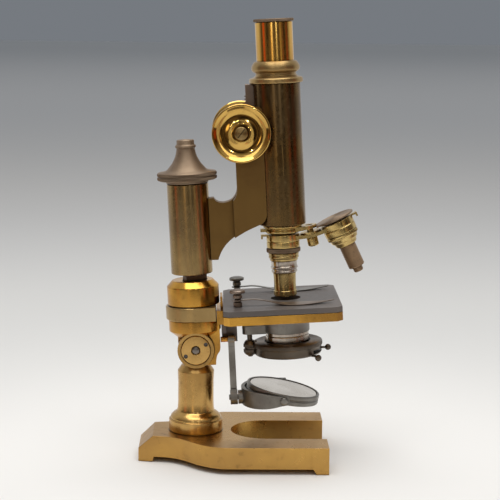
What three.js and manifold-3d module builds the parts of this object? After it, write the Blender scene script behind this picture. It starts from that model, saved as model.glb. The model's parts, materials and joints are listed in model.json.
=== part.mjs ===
// Compound microscope of lacquered brass on a horseshoe foot, built as an assembly of its separate pieces.
// Units are millimetres, +Z is up, +X points from the pillar to the stage and -Y to the near knob.
// The foot and the pillar are upright. Everything above the inclination joint is drawn upright too,
// in the pillar's own frame, and then leans back as one group about the joint's pin.
import * as THREE from 'three';
import { mergeVertices } from 'three/addons/utils/BufferGeometryUtils.js';
import Module from 'manifold-3d';

const wasm = await Module();
wasm.setup();

const DEG = Math.PI / 180;
const GAP = 0.3;              // running and seating clearance between neighbouring pieces
const SEAT = 0.5;             // looser clearance around shanks and spigots
const FINE = 24;              // facets round a large turned piece
const PLAIN = 16;             // facets round a middling piece
const SMALL = 10;             // facets round a screw or a pin
const REACH = 200;            // longer than the microscope's half length, for cutting tools

const CENTRE_X = 38.9;        // pillar axis to the middle of the microscope's length
const LEAN = 3.24 * DEG;      // backward lean of everything above the joint
const PIVOT_Z = 78.4;         // height of the inclination pin

const FOOT = { toeX: -39.9, slopeX: -29.8, endX: 92.1, halfWidth: 49.5, height: 18.7, toeHeight: 9.5,
  slotX: 49.9, slotRadius: 24.8, arch: 3.7, socketRadius: 8.4, socketZ: 9 };
const CHEEK = { radius: 12.8, inner: 5.6, outer: 12.6, nutRadius: 10.4, nutDepth: 1.5, pinRadius: 2.5 };
const DRUM = { radius: 18.2, spigotRadius: 13.5, ringRadius: 19.75, ringLow: 99.8, ringHigh: 109.4,
  top: 127 };
const BAR = { radius: 11, truncated: 10.2, low: 111.5, top: 176 };
const SLEEVE = { radius: 14.5, bore: 12.7, low: 131.7, top: 194.8 };
const STAGE = { left: 20.7, right: 101.7, halfDepth: 45.8, corner: 4, top: 110.6, split: 106.9, bottom: 100.8,
  holeRadius: 10.5 };
const CLIP = { x: 31, y: 26.5, postRadius: 3, headRadius: 5.3, tipX: 97 };
const POST = { x: 38.2, radius: 1.8, clear: 2.2 };
const CONDENSER = { top: 100.4, collarLow: 87.2, radius: 16, barrelLow: 80.8, barrelRadius: 15.3 };
const IRIS = { radius: 24.6, low: 70.8, top: 80.4, slotLow: 72.4, slotHigh: 75, slotSweep: 44 };
const MIRROR = { x: 59.7, z: 43.1, radius: 26, tilt: 13.6 * DEG, hoopInner: 26.8, hoopOuter: 29.3,
  armX: 25.1, armTop: 83.6, armBottom: 41.6 };
const TUBE = { x: 64.8, radius: 16.6, bore: 15.3, low: 163.6, top: 261 };
const BLOCK = { left: 34.2, crease: 31.2, front: 54.2, half: 13, top: 246, webHalf: 5 };
const PINION = { x: 38.8, z: 229.1, teeth: 12, pitchRadius: 4, half: 2.4 };
const KNOB = { radius: 20.1, front: 27, back: 19, seat: 24.4 };
const RACK = { low: 172, top: 254, half: 2.6 };
const NOSE = { apexZ: 255.9, half: 11.1 * DEG, socketTop: 99.7, socketEnd: 109.2, socketRadius: 11.6 };

const FINISH = {
  brass: { color: 0xb8893f, roughness: 0.28, metalness: 1 },
  palebrass: { color: 0xc9a65c, roughness: 0.35, metalness: 1 },
  darkbrass: { color: 0x6e5a35, roughness: 0.55, metalness: 0.9 },
  patina: { color: 0x75695a, roughness: 0.5, metalness: 0.8 },
  gunmetal: { color: 0x55554f, roughness: 0.5, metalness: 0.8 },
  black: { color: 0x2b2a2c, roughness: 0.5, metalness: 0.1 },
  nickel: { color: 0xb9b4a8, roughness: 0.25, metalness: 1 },
  steel: { color: 0x8b8a86, roughness: 0.35, metalness: 1 },
  glass: { color: 0xdfe6e4, roughness: 0.05, metalness: 0 },
  silvered: { color: 0xc4c0b8, roughness: 0.08, metalness: 1 },
};

// ---- joining and cutting ----

function signedVolume(points, triangles) {
  const corner = (i) => new THREE.Vector3().fromArray(points, 3 * i);
  let total = 0;
  for (let i = 0; i < triangles.length; i += 3) {
    const [a, b, c] = [corner(triangles[i]), corner(triangles[i + 1]), corner(triangles[i + 2])];
    total += a.dot(b.cross(c)) / 6;
  }
  return total;
}

function solidOf(geometry) {
  const bare = new THREE.BufferGeometry();
  bare.setAttribute('position', geometry.getAttribute('position'));
  bare.setIndex(geometry.index);
  const merged = mergeVertices(bare, 1e-4);
  const points = merged.getAttribute('position').array;
  const index = merged.index.array;
  const triangles = [];
  for (let i = 0; i < index.length; i += 3) {
    const [a, b, c] = [index[i], index[i + 1], index[i + 2]];
    if (a !== b && b !== c && c !== a) triangles.push(a, b, c);
  }
  if (signedVolume(points, triangles) < 0) triangles.reverse();
  const vertProperties = new Float32Array(points);
  const triVerts = new Uint32Array(triangles);
  return new wasm.Manifold(new wasm.Mesh({ numProp: 3, vertProperties, triVerts }));
}

function geometryOf(solid) {
  const mesh = solid.getMesh();
  const geometry = new THREE.BufferGeometry();
  geometry.setAttribute('position', new THREE.BufferAttribute(mesh.vertProperties, 3));
  geometry.setIndex(new THREE.BufferAttribute(mesh.triVerts, 1));
  geometry.computeVertexNormals();
  return geometry;
}

const join = (first, ...others) => others.reduce((sum, other) => sum.add(other), first);
const cut = (body, ...tools) => tools.reduce((rest, tool) => rest.subtract(tool), body);

// ---- basic shapes ----

const at = (x, y, z) => new THREE.Matrix4().makeTranslation(x, y, z);
const alongX = (x, y, z) => at(x, y, z).multiply(new THREE.Matrix4().makeRotationY(Math.PI / 2));
const alongY = (x, y, z) => at(x, y, z).multiply(new THREE.Matrix4().makeRotationX(-Math.PI / 2));

// A frame hung from the point where the objectives' axes meet: its -Z runs down an axis that leans
// outward from the tube by the angle given.
const noseAxis = (angle) => at(TUBE.x, 0, NOSE.apexZ).multiply(new THREE.Matrix4().makeRotationY(-angle));

function turned(profile, segments = PLAIN, place = new THREE.Matrix4()) {
  const geometry = new THREE.LatheGeometry(profile.map(([r, z]) => new THREE.Vector2(r, z)), segments);
  return solidOf(geometry.rotateX(Math.PI / 2).applyMatrix4(place));
}

const ring = (profile, segments, place) => turned([...profile, profile[0]], segments, place);

const rod = (radius, low, high, segments, place) =>
  turned([[0, low], [radius, low], [radius, high], [0, high]], segments, place);

const pipe = (inner, outer, low, high, segments, place) =>
  ring([[inner, low], [outer, low], [outer, high], [inner, high]], segments, place);

function box([x0, x1], [y0, y1], [z0, z1]) {
  const geometry = new THREE.BoxGeometry(x1 - x0, y1 - y0, z1 - z0);
  return solidOf(geometry.translate((x0 + x1) / 2, (y0 + y1) / 2, (z0 + z1) / 2));
}

function shapeOf(points) {
  return new THREE.Shape(points.map(([a, b]) => new THREE.Vector2(a, b)));
}

function slab(shape, low, high, curveSegments = 8) {
  const depth = high - low;
  const geometry = new THREE.ExtrudeGeometry(shape, { depth, bevelEnabled: false, curveSegments });
  return solidOf(geometry.translate(0, 0, low));
}

function sideSlab(shape, low, high, curveSegments = 12) {
  const depth = high - low;
  const geometry = new THREE.ExtrudeGeometry(shape, { depth, bevelEnabled: false, curveSegments });
  return solidOf(geometry.rotateX(Math.PI / 2).translate(0, high, 0));
}

function mirroredPair(solid, plane) {
  return solid.add(solid.mirror(plane));
}

// ---- foot and pillar ----

function footOutline() {
  const f = FOOT;
  const shape = new THREE.Shape();
  shape.moveTo(f.toeX, -17);
  shape.lineTo(-25.2, -20.2);
  shape.quadraticCurveTo(-14, -22.2, -3.5, -33.5);
  shape.quadraticCurveTo(9.5, -f.halfWidth, 20, -f.halfWidth);
  shape.lineTo(f.endX, -f.halfWidth);
  shape.lineTo(f.endX, -f.slotRadius);
  shape.lineTo(f.slotX, -f.slotRadius);
  shape.absarc(f.slotX, 0, f.slotRadius, -Math.PI / 2, Math.PI / 2, true);
  shape.lineTo(f.endX, f.slotRadius);
  shape.lineTo(f.endX, f.halfWidth);
  shape.lineTo(20, f.halfWidth);
  shape.quadraticCurveTo(9.5, f.halfWidth, -3.5, 33.5);
  shape.quadraticCurveTo(-14, 22.2, -25.2, 20.2);
  shape.lineTo(f.toeX, 17);
  return shape;
}

function foot() {
  const f = FOOT;
  const slope = sideSlab(shapeOf([[f.toeX - 5, f.toeHeight - 4.5], [f.toeX, f.toeHeight],
    [f.slopeX, f.height], [f.slopeX, f.height + 5], [f.toeX - 5, f.height + 5]]), -REACH, REACH);
  const arch = sideSlab(shapeOf([[-30.3, -1], [-28.9, f.arch], [81.3, f.arch], [84.2, -1]]), -REACH, REACH);
  const socket = rod(f.socketRadius, f.socketZ - GAP, REACH, PLAIN);
  const boltHole = rod(3.4, -1, f.socketZ, SMALL);
  return cut(slab(footOutline(), 0, f.height), slope, arch, socket, boltHole);
}

function footBolt() {
  const headTop = FOOT.arch - GAP;
  return turned([[0, 0.9], [6, 0.9], [6.5, 1.4], [6.5, headTop], [3, headTop], [3, 15.5], [0, 15.5]], SMALL);
}

function pillar() {
  const c = CHEEK;
  const column = turned([[0, FOOT.socketZ], [8, FOOT.socketZ], [8, FOOT.height], [18.9, FOOT.height],
    [19, 25.5], [18.3, 27.6], [16.6, 29.6], [14.5, 31.3], [13.5, 32], [12.9, 33.6], [12.6, 54.6],
    [12.9, 61.9], [9.9, 66.4], [0, 66.4]], FINE);
  const cheeks = rod(c.radius, -c.outer, c.outer, FINE, alongY(0, 0, PIVOT_Z));
  const fork = box([-REACH, REACH], [-c.inner, c.inner], [65.9, REACH]);
  const pinHole = rod(c.pinRadius + GAP, -REACH, REACH, SMALL, alongY(0, 0, PIVOT_Z));
  const nutSeat = rod(c.nutRadius + GAP, c.outer - c.nutDepth, REACH, PLAIN, alongY(0, 0, PIVOT_Z));
  const boltHole = rod(3 + SEAT, 0, 16.5, SMALL);
  return cut(join(column, cheeks), fork, pinHole, mirroredPair(nutSeat, [0, 1, 0]), boltHole);
}

function hingePin() {
  const half = CHEEK.outer + 0.3;
  return rod(CHEEK.pinRadius, -half, half, SMALL, alongY(0, 0, PIVOT_Z));
}

function hingeNut() {
  const c = CHEEK;
  const disc = pipe(c.pinRadius + GAP, c.nutRadius, c.outer - c.nutDepth + GAP, c.outer, PLAIN,
    alongY(0, 0, PIVOT_Z));
  const holes = [-1, 1].map((side) => rod(1.2, 0, REACH, SMALL, alongY(7 * side, 0, PIVOT_Z + 4.3 * side)));
  return cut(disc, ...holes);
}

// ---- knuckle, drum and stage bracket ----

function knuckle() {
  const c = CHEEK;
  const d = DRUM;
  const drum = turned([[0, 85.4], [10.9, 85.4], [d.radius, 91.4], [d.radius, d.ringLow - GAP],
    [d.spigotRadius, d.ringLow - GAP], [d.spigotRadius, d.ringHigh], [0, d.ringHigh]], FINE);
  const tongue = join(rod(12.2, -c.inner + GAP, c.inner - GAP, PLAIN, alongY(0, 0, PIVOT_Z)),
    box([-12.2, 12.2], [-c.inner + GAP, c.inner - GAP], [PIVOT_Z, 92]));
  const tail = new THREE.Shape();
  tail.moveTo(6, 95);
  tail.lineTo(6, 66.8);
  tail.lineTo(13.7, 66.8);
  tail.quadraticCurveTo(13.9, 73.2, 16, 75.4);
  tail.quadraticCurveTo(17.3, 77, 17.3, 79.5);
  tail.lineTo(17.3, 95);
  const clearance = cut(rod(c.radius + 0.5, -REACH, REACH, FINE, alongY(0, 0, PIVOT_Z)),
    box([-REACH, REACH], [-c.inner + GAP, c.inner - GAP], [0, REACH]));
  const stopGap = cut(box([0, 13.2], [-c.inner + GAP, c.inner - GAP], [60, PIVOT_Z]),
    rod(12.2, -REACH, REACH, PLAIN, alongY(0, 0, PIVOT_Z)), box([5, 14], [-REACH, REACH], [66.8, 95]));
  const pinHole = rod(c.pinRadius + GAP, -REACH, REACH, SMALL, alongY(0, 0, PIVOT_Z));
  return cut(join(drum, tongue, sideSlab(tail, -9, 9, 6)), clearance, stopGap, pinHole);
}

function barOutline(offset) {
  const corners = [0, 1, 2].flatMap((i) => {
    const angle = i * 120 * DEG;
    const cutBack = BAR.truncated + offset;
    const side = (BAR.radius + 2 * offset - cutBack) * Math.tan(60 * DEG);
    return [-1, 1].map((s) => [cutBack * Math.cos(angle) - s * side * Math.sin(angle),
      cutBack * Math.sin(angle) + s * side * Math.cos(angle)]);
  });
  return shapeOf(corners);
}

function drumTop() {
  const d = DRUM;
  const shell = turned([[0, d.ringHigh + GAP], [d.radius, d.ringHigh + GAP], [d.radius, d.top - 4.1],
    [d.radius - 3.8, d.top], [0, d.top]], FINE);
  return cut(shell, slab(barOutline(GAP), BAR.low - GAP, REACH));
}

function prismBar() {
  return slab(barOutline(0), BAR.low, BAR.top);
}

function stageBracket() {
  const d = DRUM;
  const body = join(rod(d.ringRadius, d.ringLow, d.ringHigh, FINE),
    box([0, 15.3], [-d.ringRadius, d.ringRadius], [d.ringLow, d.ringHigh]));
  const front = box([15.5, REACH], [-REACH, REACH], [0, REACH]);
  return cut(body, rod(d.spigotRadius + GAP, 0, REACH, FINE), front);
}

function stageBlock() {
  const s = STAGE;
  const wall = box([15.9, s.left - GAP], [-17, 17], [96.8, 106.4]);
  const riser = box([18.7, s.left - GAP], [-9, 9], [100, 115]);
  const shelf = box([16.5, 33], [-17, 17], [96.8, s.bottom - GAP]);
  const drumBelow = rod(DRUM.radius + SEAT, 0, DRUM.ringLow, FINE);
  const drumAbove = rod(DRUM.radius + SEAT, DRUM.ringHigh, REACH, FINE);
  return cut(join(wall, riser, shelf), drumBelow, drumAbove);
}

function stageOutline() {
  const { left, right, halfDepth, corner } = STAGE;
  return shapeOf([[left + corner, -halfDepth], [right - corner, -halfDepth], [right, -halfDepth + corner],
    [right, halfDepth - corner], [right - corner, halfDepth], [left + corner, halfDepth],
    [left, halfDepth - corner], [left, -halfDepth + corner]]);
}

function stagePlate(low, high, holeRadius) {
  const light = rod(holeRadius, 0, REACH, FINE, at(TUBE.x, 0, 0));
  const posts = [-1, 1].map((side) => rod(1.8 + GAP, 0, REACH, SMALL, at(CLIP.x, side * CLIP.y, 0)));
  return cut(slab(stageOutline(), low, high), light, ...posts);
}

function stageCarrier() {
  const boss = rod(4.6, 92.6, STAGE.bottom + 1, PLAIN, at(POST.x, 0, 0));
  const postHole = rod(POST.clear, 0, 99.6, SMALL, at(POST.x, 0, 0));
  return cut(join(stagePlate(STAGE.bottom, STAGE.split - GAP, 13), boss), postHole);
}

function clipPost(side) {
  const { postRadius: r, headRadius: h } = CLIP;
  const foot = STAGE.top + GAP;
  return turned([[0, 103], [1.8, 103], [1.8, foot], [r, foot], [r, 113.8], [2, 114.3], [2, 116.2],
    [r, 116.7], [r, 118.6], [2.4, 119.6], [h, 120.6], [h, 122.2], [0, 123]],
  PLAIN, at(CLIP.x, side * CLIP.y, 0));
}

function clipLeaf(side) {
  const c = CLIP;
  const top = [[c.x - 3.8, 115.6], [41, 115.9], [47, 115.2], [58, 112.6], [69, 111.5], [82, 111.6],
    [c.tipX, 113]];
  const bottom = top.map(([x, z]) => [x, z - 0.5]).reverse();
  const strip = sideSlab(shapeOf([...top, ...bottom]), -REACH, REACH);
  const plan = new THREE.Shape();
  plan.absarc(c.x, 0, 3.8, 0.5, 2 * Math.PI - 0.5, false);
  plan.lineTo(44, -1.8);
  plan.quadraticCurveTo(56, -2, 64, -4.6);
  plan.quadraticCurveTo(73, -7, 82, -4.6);
  plan.quadraticCurveTo(92, -1.2, c.tipX, -0.5);
  plan.lineTo(c.tipX, 0.5);
  plan.quadraticCurveTo(92, 1.2, 82, 4.6);
  plan.quadraticCurveTo(73, 7, 64, 4.6);
  plan.quadraticCurveTo(56, 2, 44, 1.8);
  const blank = slab(plan, 100, 130, 6).rotate(0, 0, side).translate(0, side * c.y, 0);
  return cut(blank.intersect(strip), rod(2 + GAP, 0, REACH, SMALL, at(c.x, side * c.y, 0)));
}

// ---- fine focus column and limb ----

function columnSleeve() {
  const s = SLEEVE;
  const outside = turned([[0, s.low], [14.2, s.low], [s.radius, s.low + 0.4], [s.radius, s.top - 0.4],
    [14.2, s.top], [0, s.top]], FINE);
  const springRoom = rod(s.bore, 172, 190, PLAIN);
  return cut(outside, slab(barOutline(GAP), 0, 173), springRoom, rod(2.6 + GAP, 0, REACH, SMALL));
}

function micrometerScrew() {
  return turned([[0, 178.4], [1.4, 178.4], [2.6, 180], [2.6, 205.5], [0, 205.5]], SMALL);
}

function micrometerHead() {
  const profile = [[0, 206], [2.9, 206], [2.9, 195.3], [14.7, 195.3], [14.8, 196.8], [19.6, 197.2],
    [20.8, 198], [20.8, 202.2], [20.1, 203], [15.2, 203.7], [11.9, 206.7], [8.8, 211.1], [6.9, 216],
    [6.4, 219.3], [7.2, 219.8], [7.2, 221.1], [6.2, 221.8], [6.1, 225.1], [0, 225.1]];
  return turned(profile, FINE);
}

function focusSpring() {
  const turns = 4;
  const [low, high, radius] = [179.5, 188.8, 5.2];
  const points = Array.from({ length: turns * 10 + 1 }, (_, i) => {
    const angle = (i / 10) * 2 * Math.PI;
    return new THREE.Vector3(radius * Math.cos(angle), radius * Math.sin(angle),
      low + (high - low) * i / (turns * 10));
  });
  const wire = new THREE.Shape();
  wire.absarc(0, 0, 0.7, 0, 2 * Math.PI, false);
  const extrudePath = new THREE.CatmullRomCurve3(points);
  return solidOf(new THREE.ExtrudeGeometry(wire, { steps: turns * 10, extrudePath, curveSegments: 3 }));
}

function limbLower(shape, fromX) {
  if (fromX > BLOCK.crease - 1) {
    shape.lineTo(fromX, 156.2);
  } else {
    shape.lineTo(13, 140.6);
    shape.lineTo(19, 140.6);
    shape.quadraticCurveTo(22, 150.3, 30.6, 155.9);
  }
  shape.quadraticCurveTo(38.5, 160.9, 49, 164.7);
  shape.quadraticCurveTo(54, 166.6, BLOCK.front, 173.5);
}

function limb() {
  const b = BLOCK;
  const web = new THREE.Shape();
  web.moveTo(13, 184);
  limbLower(web, 13);
  web.lineTo(b.front, 195);
  web.lineTo(b.left, 195);
  web.lineTo(b.left, 189);
  web.quadraticCurveTo(33, 181.2, 24.6, 180.4);
  web.quadraticCurveTo(19.6, 180.2, 17.8, 184);
  const block = new THREE.Shape();
  block.moveTo(b.crease, 182.2);
  limbLower(block, b.crease);
  block.lineTo(b.front, b.top - 2);
  block.lineTo(b.front - 2, b.top);
  block.lineTo(b.left + 2, b.top);
  block.lineTo(b.left, b.top - 2);
  block.lineTo(b.left, 189);
  block.quadraticCurveTo(33.9, 184.8, b.crease, 182.2);
  const raw = join(sideSlab(web, -b.webHalf, b.webHalf, 8), sideSlab(block, -b.half, b.half, 8));
  const channel = slab(shapeOf([[42.8, -6.8], [48.4, -5.2], [60, -5.2], [60, 5.2], [48.4, 5.2],
    [42.8, 6.8]]), 0, REACH * 2);
  const rackWay = box([41.6, 43.5], [-RACK.half - GAP, RACK.half + GAP], [0, REACH * 2]);
  const p = PINION;
  return cut(raw, rod(SLEEVE.radius + GAP, 0, REACH * 2, FINE), rod(TUBE.radius + GAP, 0, REACH * 2, FINE * 2,
    at(TUBE.x, 0, 0)), channel, rackWay, rod(5.1, -p.half - SEAT, p.half + SEAT, PLAIN, alongY(p.x, 0, p.z)),
  rod(2.2 + GAP, -REACH, REACH, SMALL, alongY(p.x, 0, p.z)));
}

// ---- coarse focus ----

function toothOutline(root, pitch, tip) {
  return [[root, -0.62], [pitch, -0.36], [tip, -0.16], [tip, 0.16], [pitch, 0.36], [root, 0.62]];
}

function pinionShaft() {
  const p = PINION;
  const points = Array.from({ length: p.teeth }, (_, i) => i * 2 * Math.PI / p.teeth).flatMap((angle) =>
    toothOutline(3.25, p.pitchRadius, 4.55).map(([r, s]) => [r * Math.cos(angle) - s * Math.sin(angle),
      r * Math.sin(angle) + s * Math.cos(angle)]));
  const gear = sideSlab(shapeOf(points), -p.half, p.half).translate(p.x, 0, p.z);
  return join(gear, rod(2.2, -KNOB.front + 5, KNOB.front - 5, SMALL, alongY(p.x, 0, p.z)));
}

function rack() {
  const pitch = 2 * Math.PI * PINION.pitchRadius / PINION.teeth;
  const faceX = PINION.x + PINION.pitchRadius;
  const count = Math.floor((RACK.top - PINION.z) / pitch - 0.5);
  const below = Math.floor((PINION.z - RACK.low) / pitch - 0.5);
  const points = [[45, RACK.low], [faceX + 0.75, RACK.low]];
  for (let i = -below; i <= count; i += 1) {
    const z = PINION.z + (i + 0.5) * pitch;
    toothOutline(faceX + 0.75, faceX, faceX - 0.6).forEach(([x, s]) => points.push([x, z + s]));
  }
  points.push([faceX + 0.75, RACK.top], [45, RACK.top]);
  return sideSlab(shapeOf(points), -RACK.half, RACK.half);
}

function slideBar() {
  const bar = slab(shapeOf([[43.2, -6.4], [47.8, -5], [47.8, 5], [43.2, 6.4]]), 168.5, 261.2);
  return cut(bar, box([40, 45.3], [-RACK.half - GAP, RACK.half + GAP], [RACK.low - GAP, REACH * 2]));
}

function bodyTube() {
  const t = TUBE;
  return ring([[t.bore, t.low + 1.4], [9.5, t.low + 1.4], [9.5, t.low], [15.9, t.low - 0.6], [t.radius, t.low],
    [t.radius, t.top], [t.bore, t.top]], FINE, at(t.x, 0, 0));
}

function tubeCollar() {
  const low = TUBE.top + GAP;
  return ring([[13.2, 246], [15, 246], [15, low], [18.5, low], [18.5, 264.4], [17.6, 265.3], [13.9, 266.6],
    [14.3, 268.6], [16.5, 270.2], [16.5, 273.6], [14.6, 276.3], [13.2, 276.3]], FINE, at(TUBE.x, 0, 0));
}

function drawTube() {
  return ring([[12.1, 205], [12.9, 205], [12.9, 302.8], [12.1, 302.8]], FINE, at(TUBE.x, 0, 0));
}

function eyepiece() {
  const body = [[10.8, 262], [11.8, 262], [11.8, 303.1], [13.9, 303.1], [13.9, 305.2], [11.4, 305.2],
    [4.2, 302.9], [4.2, 301.9], [8.8, 301.4], [10.8, 299]];
  return ring(body, FINE, at(TUBE.x, 0, 0));
}

function lens(radius, z, sag, thickness, place) {
  return turned([[0, z], [radius, z], [radius, z + thickness], [radius * 0.6, z + thickness + sag * 0.7],
    [0, z + thickness + sag]], PLAIN, place);
}

// ---- knobs ----

function knob() {
  const k = KNOB;
  const profile = [[2.5, k.back], [7, k.back], [7, k.back + 1.6], [16.8, k.back + 2.2],
    [k.radius, k.back + 4], [k.radius, k.front - 0.5], [k.radius - 0.6, k.front], [18.6, k.front - 0.1],
    [17.4, k.front - 1.4], [14.6, k.front - 3.2], [12, k.front - 3.6], [9.2, k.front - 3.1],
    [6.4, k.seat + 0.2], [2.5, k.seat]];
  return ring(profile, FINE, alongY(PINION.x, 0, PINION.z));
}

function knobScrew(side) {
  const face = KNOB.seat + GAP;
  const head = turned([[0, KNOB.front - 4.6], [2.2, KNOB.front - 4.6], [2.2, face], [4.5, face],
    [4.5, face + 0.8], [4.1, face + 1.2], [0, face + 1.2]], PLAIN, alongY(PINION.x, 0, PINION.z));
  const slot = box([-0.4, 0.4], [face + 0.7, REACH], [-6, 6]).rotate(0, 40, 0)
    .translate(PINION.x, 0, PINION.z);
  const screw = cut(head, slot);
  return side > 0 ? screw : screw.mirror([0, 1, 0]);
}

const sided = (solid, side) => (side > 0 ? solid : solid.mirror([0, 1, 0]));

// ---- nosepiece and objectives ----

function nosePlate() {
  const t = at(TUBE.x, 0, 0);
  const collar = ring([[8.6, 157.2], [11.6, 157.2], [11.9, 158.4], [11.4, 160.2], [13.6, 161.4],
    [13.6, 162.6], [8.6, 162.6]], FINE, t);
  const web = sideSlab(shapeOf([[67, 157.5], [74, 157.8], [84, 159.2], [88.4, 160.4], [88.6, 162.3],
    [84, 161.6], [77, 161.1], [67, 160.9]]), -8, 8);
  const plan = slab(new THREE.Shape().absellipse(76, 0, 12.6, 8, 0, 2 * Math.PI), 100, 170, 10);
  const pad = rod(6.5, -98.6, -96.4, PLAIN, noseAxis(NOSE.half));
  const bore = rod(8.6, 0, REACH, FINE, t);
  const catchArm = box([49.2, 56], [-3, 3], [158.2, 160.4]);
  const pivotHole = rod(2.3 + GAP, -REACH, 0, SMALL, noseAxis(NOSE.half));
  return cut(join(collar, web.intersect(plan), pad, catchArm), bore, pivotHole);
}

function dustGuard() {
  const disc = rod(13.5, -98.3, -96.8, FINE, noseAxis(2 * NOSE.half));
  return cut(disc, box([0, 90.5], [-REACH, REACH], [0, REACH]));
}

function pivotScrew() {
  return turned([[0, -111.4], [2.8, -111.4], [3.9, -110.6], [3.9, -105.4], [2.8, -104.9], [2.3, -104.9],
    [2.3, -96.9], [0, -96.9]], PLAIN, noseAxis(NOSE.half));
}

function revolver() {
  const n = NOSE;
  const wall = [[0, -n.socketEnd], [n.socketRadius - 0.4, -n.socketEnd], [n.socketRadius, -n.socketEnd + 0.5],
    [n.socketRadius, -n.socketTop - 0.3], [n.socketRadius - 0.3, -n.socketTop], [0, -n.socketTop]];
  const axes = [0, 2 * n.half];
  const sockets = axes.map((angle) => turned(wall, FINE, noseAxis(angle)));
  const hub = rod(7.4, -104.3, -100.6, PLAIN, noseAxis(n.half));
  const arm = new THREE.Shape();
  const along = (angle, r) => [TUBE.x + r * Math.sin(angle), n.apexZ - r * Math.cos(angle)];
  const bend = (r) => along(n.half, r);
  [along(0, 101), bend(102.6), along(2 * n.half, 101), along(2 * n.half, 104.4), bend(104.6), along(0, 104.4)]
    .forEach(([x, z], i) => (i ? arm.lineTo(x, z) : arm.moveTo(x, z)));
  const lug = cut(box([-15.4, -9], [-2.4, 2.4], [-n.socketTop - 3, -n.socketTop]),
    box([-20, -10.9], [-9, 9], [-n.socketTop - 5, -n.socketTop - 1.3])
      .subtract(box([-16.4, -14.1], [-9, 9], [-200, 0])));
  const lugs = [[0, lug], [2 * n.half, lug.mirror([1, 0, 0])]].map(([angle, piece]) =>
    piece.rotate(0, -angle / DEG, 0).translate(TUBE.x, 0, n.apexZ));
  const bores = axes.map((angle) => rod(9, -REACH, 0, PLAIN, noseAxis(angle)));
  const pivotHole = rod(2.3 + GAP, -REACH, 0, SMALL, noseAxis(n.half));
  return cut(join(...sockets, hub, sideSlab(arm, -7.5, 7.5), ...lugs), ...bores, pivotHole);
}

function highObjective() {
  return ring([[7, -101.6], [8.7, -101.6], [8.7, -112.6], [10.7, -112.7], [10.6, -116.2], [9.3, -118.6],
    [9, -122], [9.5, -122.5], [9.5, -123.6], [8.8, -124.2], [8.2, -127], [7.7, -135], [8.2, -139.8],
    [8.2, -143.4], [3.4, -143.4], [3.4, -142], [7, -140]], FINE, noseAxis(0));
}

function knurledRing(angle, outer, low, high) {
  return pipe(8.7 + GAP, outer, -high, -low, FINE, noseAxis(angle));
}

function lowMount() {
  return ring([[6.2, -101.6], [8.7, -101.6], [8.7, -109.5], [11.2, -109.5], [11.3, -111.6], [10.2, -112.3],
    [9.6, -114.4], [8, -116.4], [7, -118.2], [6.2, -118.2]], FINE, noseAxis(2 * NOSE.half));
}

function lowBarrel() {
  return ring([[4.6, -108], [5.8, -108], [5.8, -134.6], [5.2, -135.3], [3.4, -135.6], [3.3, -138.3],
    [2.8, -139], [1.8, -139], [1.8, -137.8], [4.6, -134]], PLAIN, noseAxis(2 * NOSE.half));
}

// ---- condenser and iris ----

function condenserCarrier() {
  const c = CONDENSER;
  const sleeve = ring([[c.barrelRadius + GAP, c.collarLow], [c.radius, c.collarLow], [c.radius, 96],
    [17.6, 97.2], [17.6, c.top], [c.barrelRadius + GAP, c.top]], FINE, at(TUBE.x, 0, 0));
  const arm = cut(box([POST.x - 2, 52], [-5, 5], [86.2, 92.2]), rod(c.radius - 0.2, 0, REACH, FINE,
    at(TUBE.x, 0, 0)));
  const eye = rod(5, 86.2, 92.2, PLAIN, at(POST.x, 0, 0));
  return cut(join(sleeve, arm, eye), rod(POST.clear, 0, REACH, SMALL, at(POST.x, 0, 0)));
}

function condenserBarrel() {
  const c = CONDENSER;
  return ring([[13.6, c.barrelLow], [c.barrelRadius, c.barrelLow], [c.barrelRadius, 98.6], [14.4, 99.4],
    [9.6, 99.4], [9.6, 98], [13.6, 97]], FINE, at(TUBE.x, 0, 0));
}

function irisRing() {
  const i = IRIS;
  const t = at(TUBE.x, 0, 0);
  const body = ring([[15.4, i.top - 1.8], [16.4, i.top], [23.4, i.top], [i.radius, i.top - 0.8],
    [i.radius, 77], [23.9, 76.4], [23.9, i.low + 1.2], [22.4, i.low], [14.6, i.low], [14.6, 72.2],
    [20.4, 72.2], [20.4, i.top - 1.8]], FINE, t);
  const sweep = i.slotSweep * DEG;
  const sector = new THREE.Shape();
  sector.moveTo(0, 0);
  sector.lineTo(30 * Math.cos(-sweep), 30 * Math.sin(-sweep));
  sector.lineTo(36, -14);
  sector.lineTo(36, 14);
  sector.lineTo(30 * Math.cos(sweep), 30 * Math.sin(sweep));
  const slot = slab(sector, i.slotLow, i.slotHigh).translate(TUBE.x, 0, 0);
  const bite = cut(rod(5.2, 0, REACH, PLAIN, at(POST.x, 0, 0)), box([0, REACH], [-9, 9], [75.4, 76.6]));
  const lug = join(rod(4, 75.5, 76.5, PLAIN, at(POST.x, 0, 0)), box([POST.x, 44.5], [-4, 4], [75.5, 76.5]));
  const ball = new THREE.SphereGeometry(2.3, 10, 6).translate(TUBE.x + 20.2, -19.6, 70.4);
  const stem = new THREE.CylinderGeometry(0.8, 0.8, 8, 10).rotateZ(Math.PI / 2).rotateZ(-44 * DEG)
    .translate(TUBE.x + 17, -16.5, 71.3);
  const body2 = cut(cut(body, bite), slot);
  const bore = rod(POST.clear, 0, REACH, SMALL, at(POST.x, 0, 0));
  return cut(join(body2, lug, solidOf(stem), solidOf(ball)), bore);
}

function irisLever() {
  const t = at(TUBE.x, 0, 0);
  const disc = pipe(12, 20, 72.8, 74.6, PLAIN, t);
  const arm = new THREE.CylinderGeometry(0.8, 0.8, 9.5, 10).rotateZ(Math.PI / 2)
    .translate(TUBE.x + 23.4, 0, 73.7);
  const ball = new THREE.SphereGeometry(2.2, 10, 6).translate(TUBE.x + 28.4, 0, 73.7);
  return join(disc, solidOf(arm), solidOf(ball));
}

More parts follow.
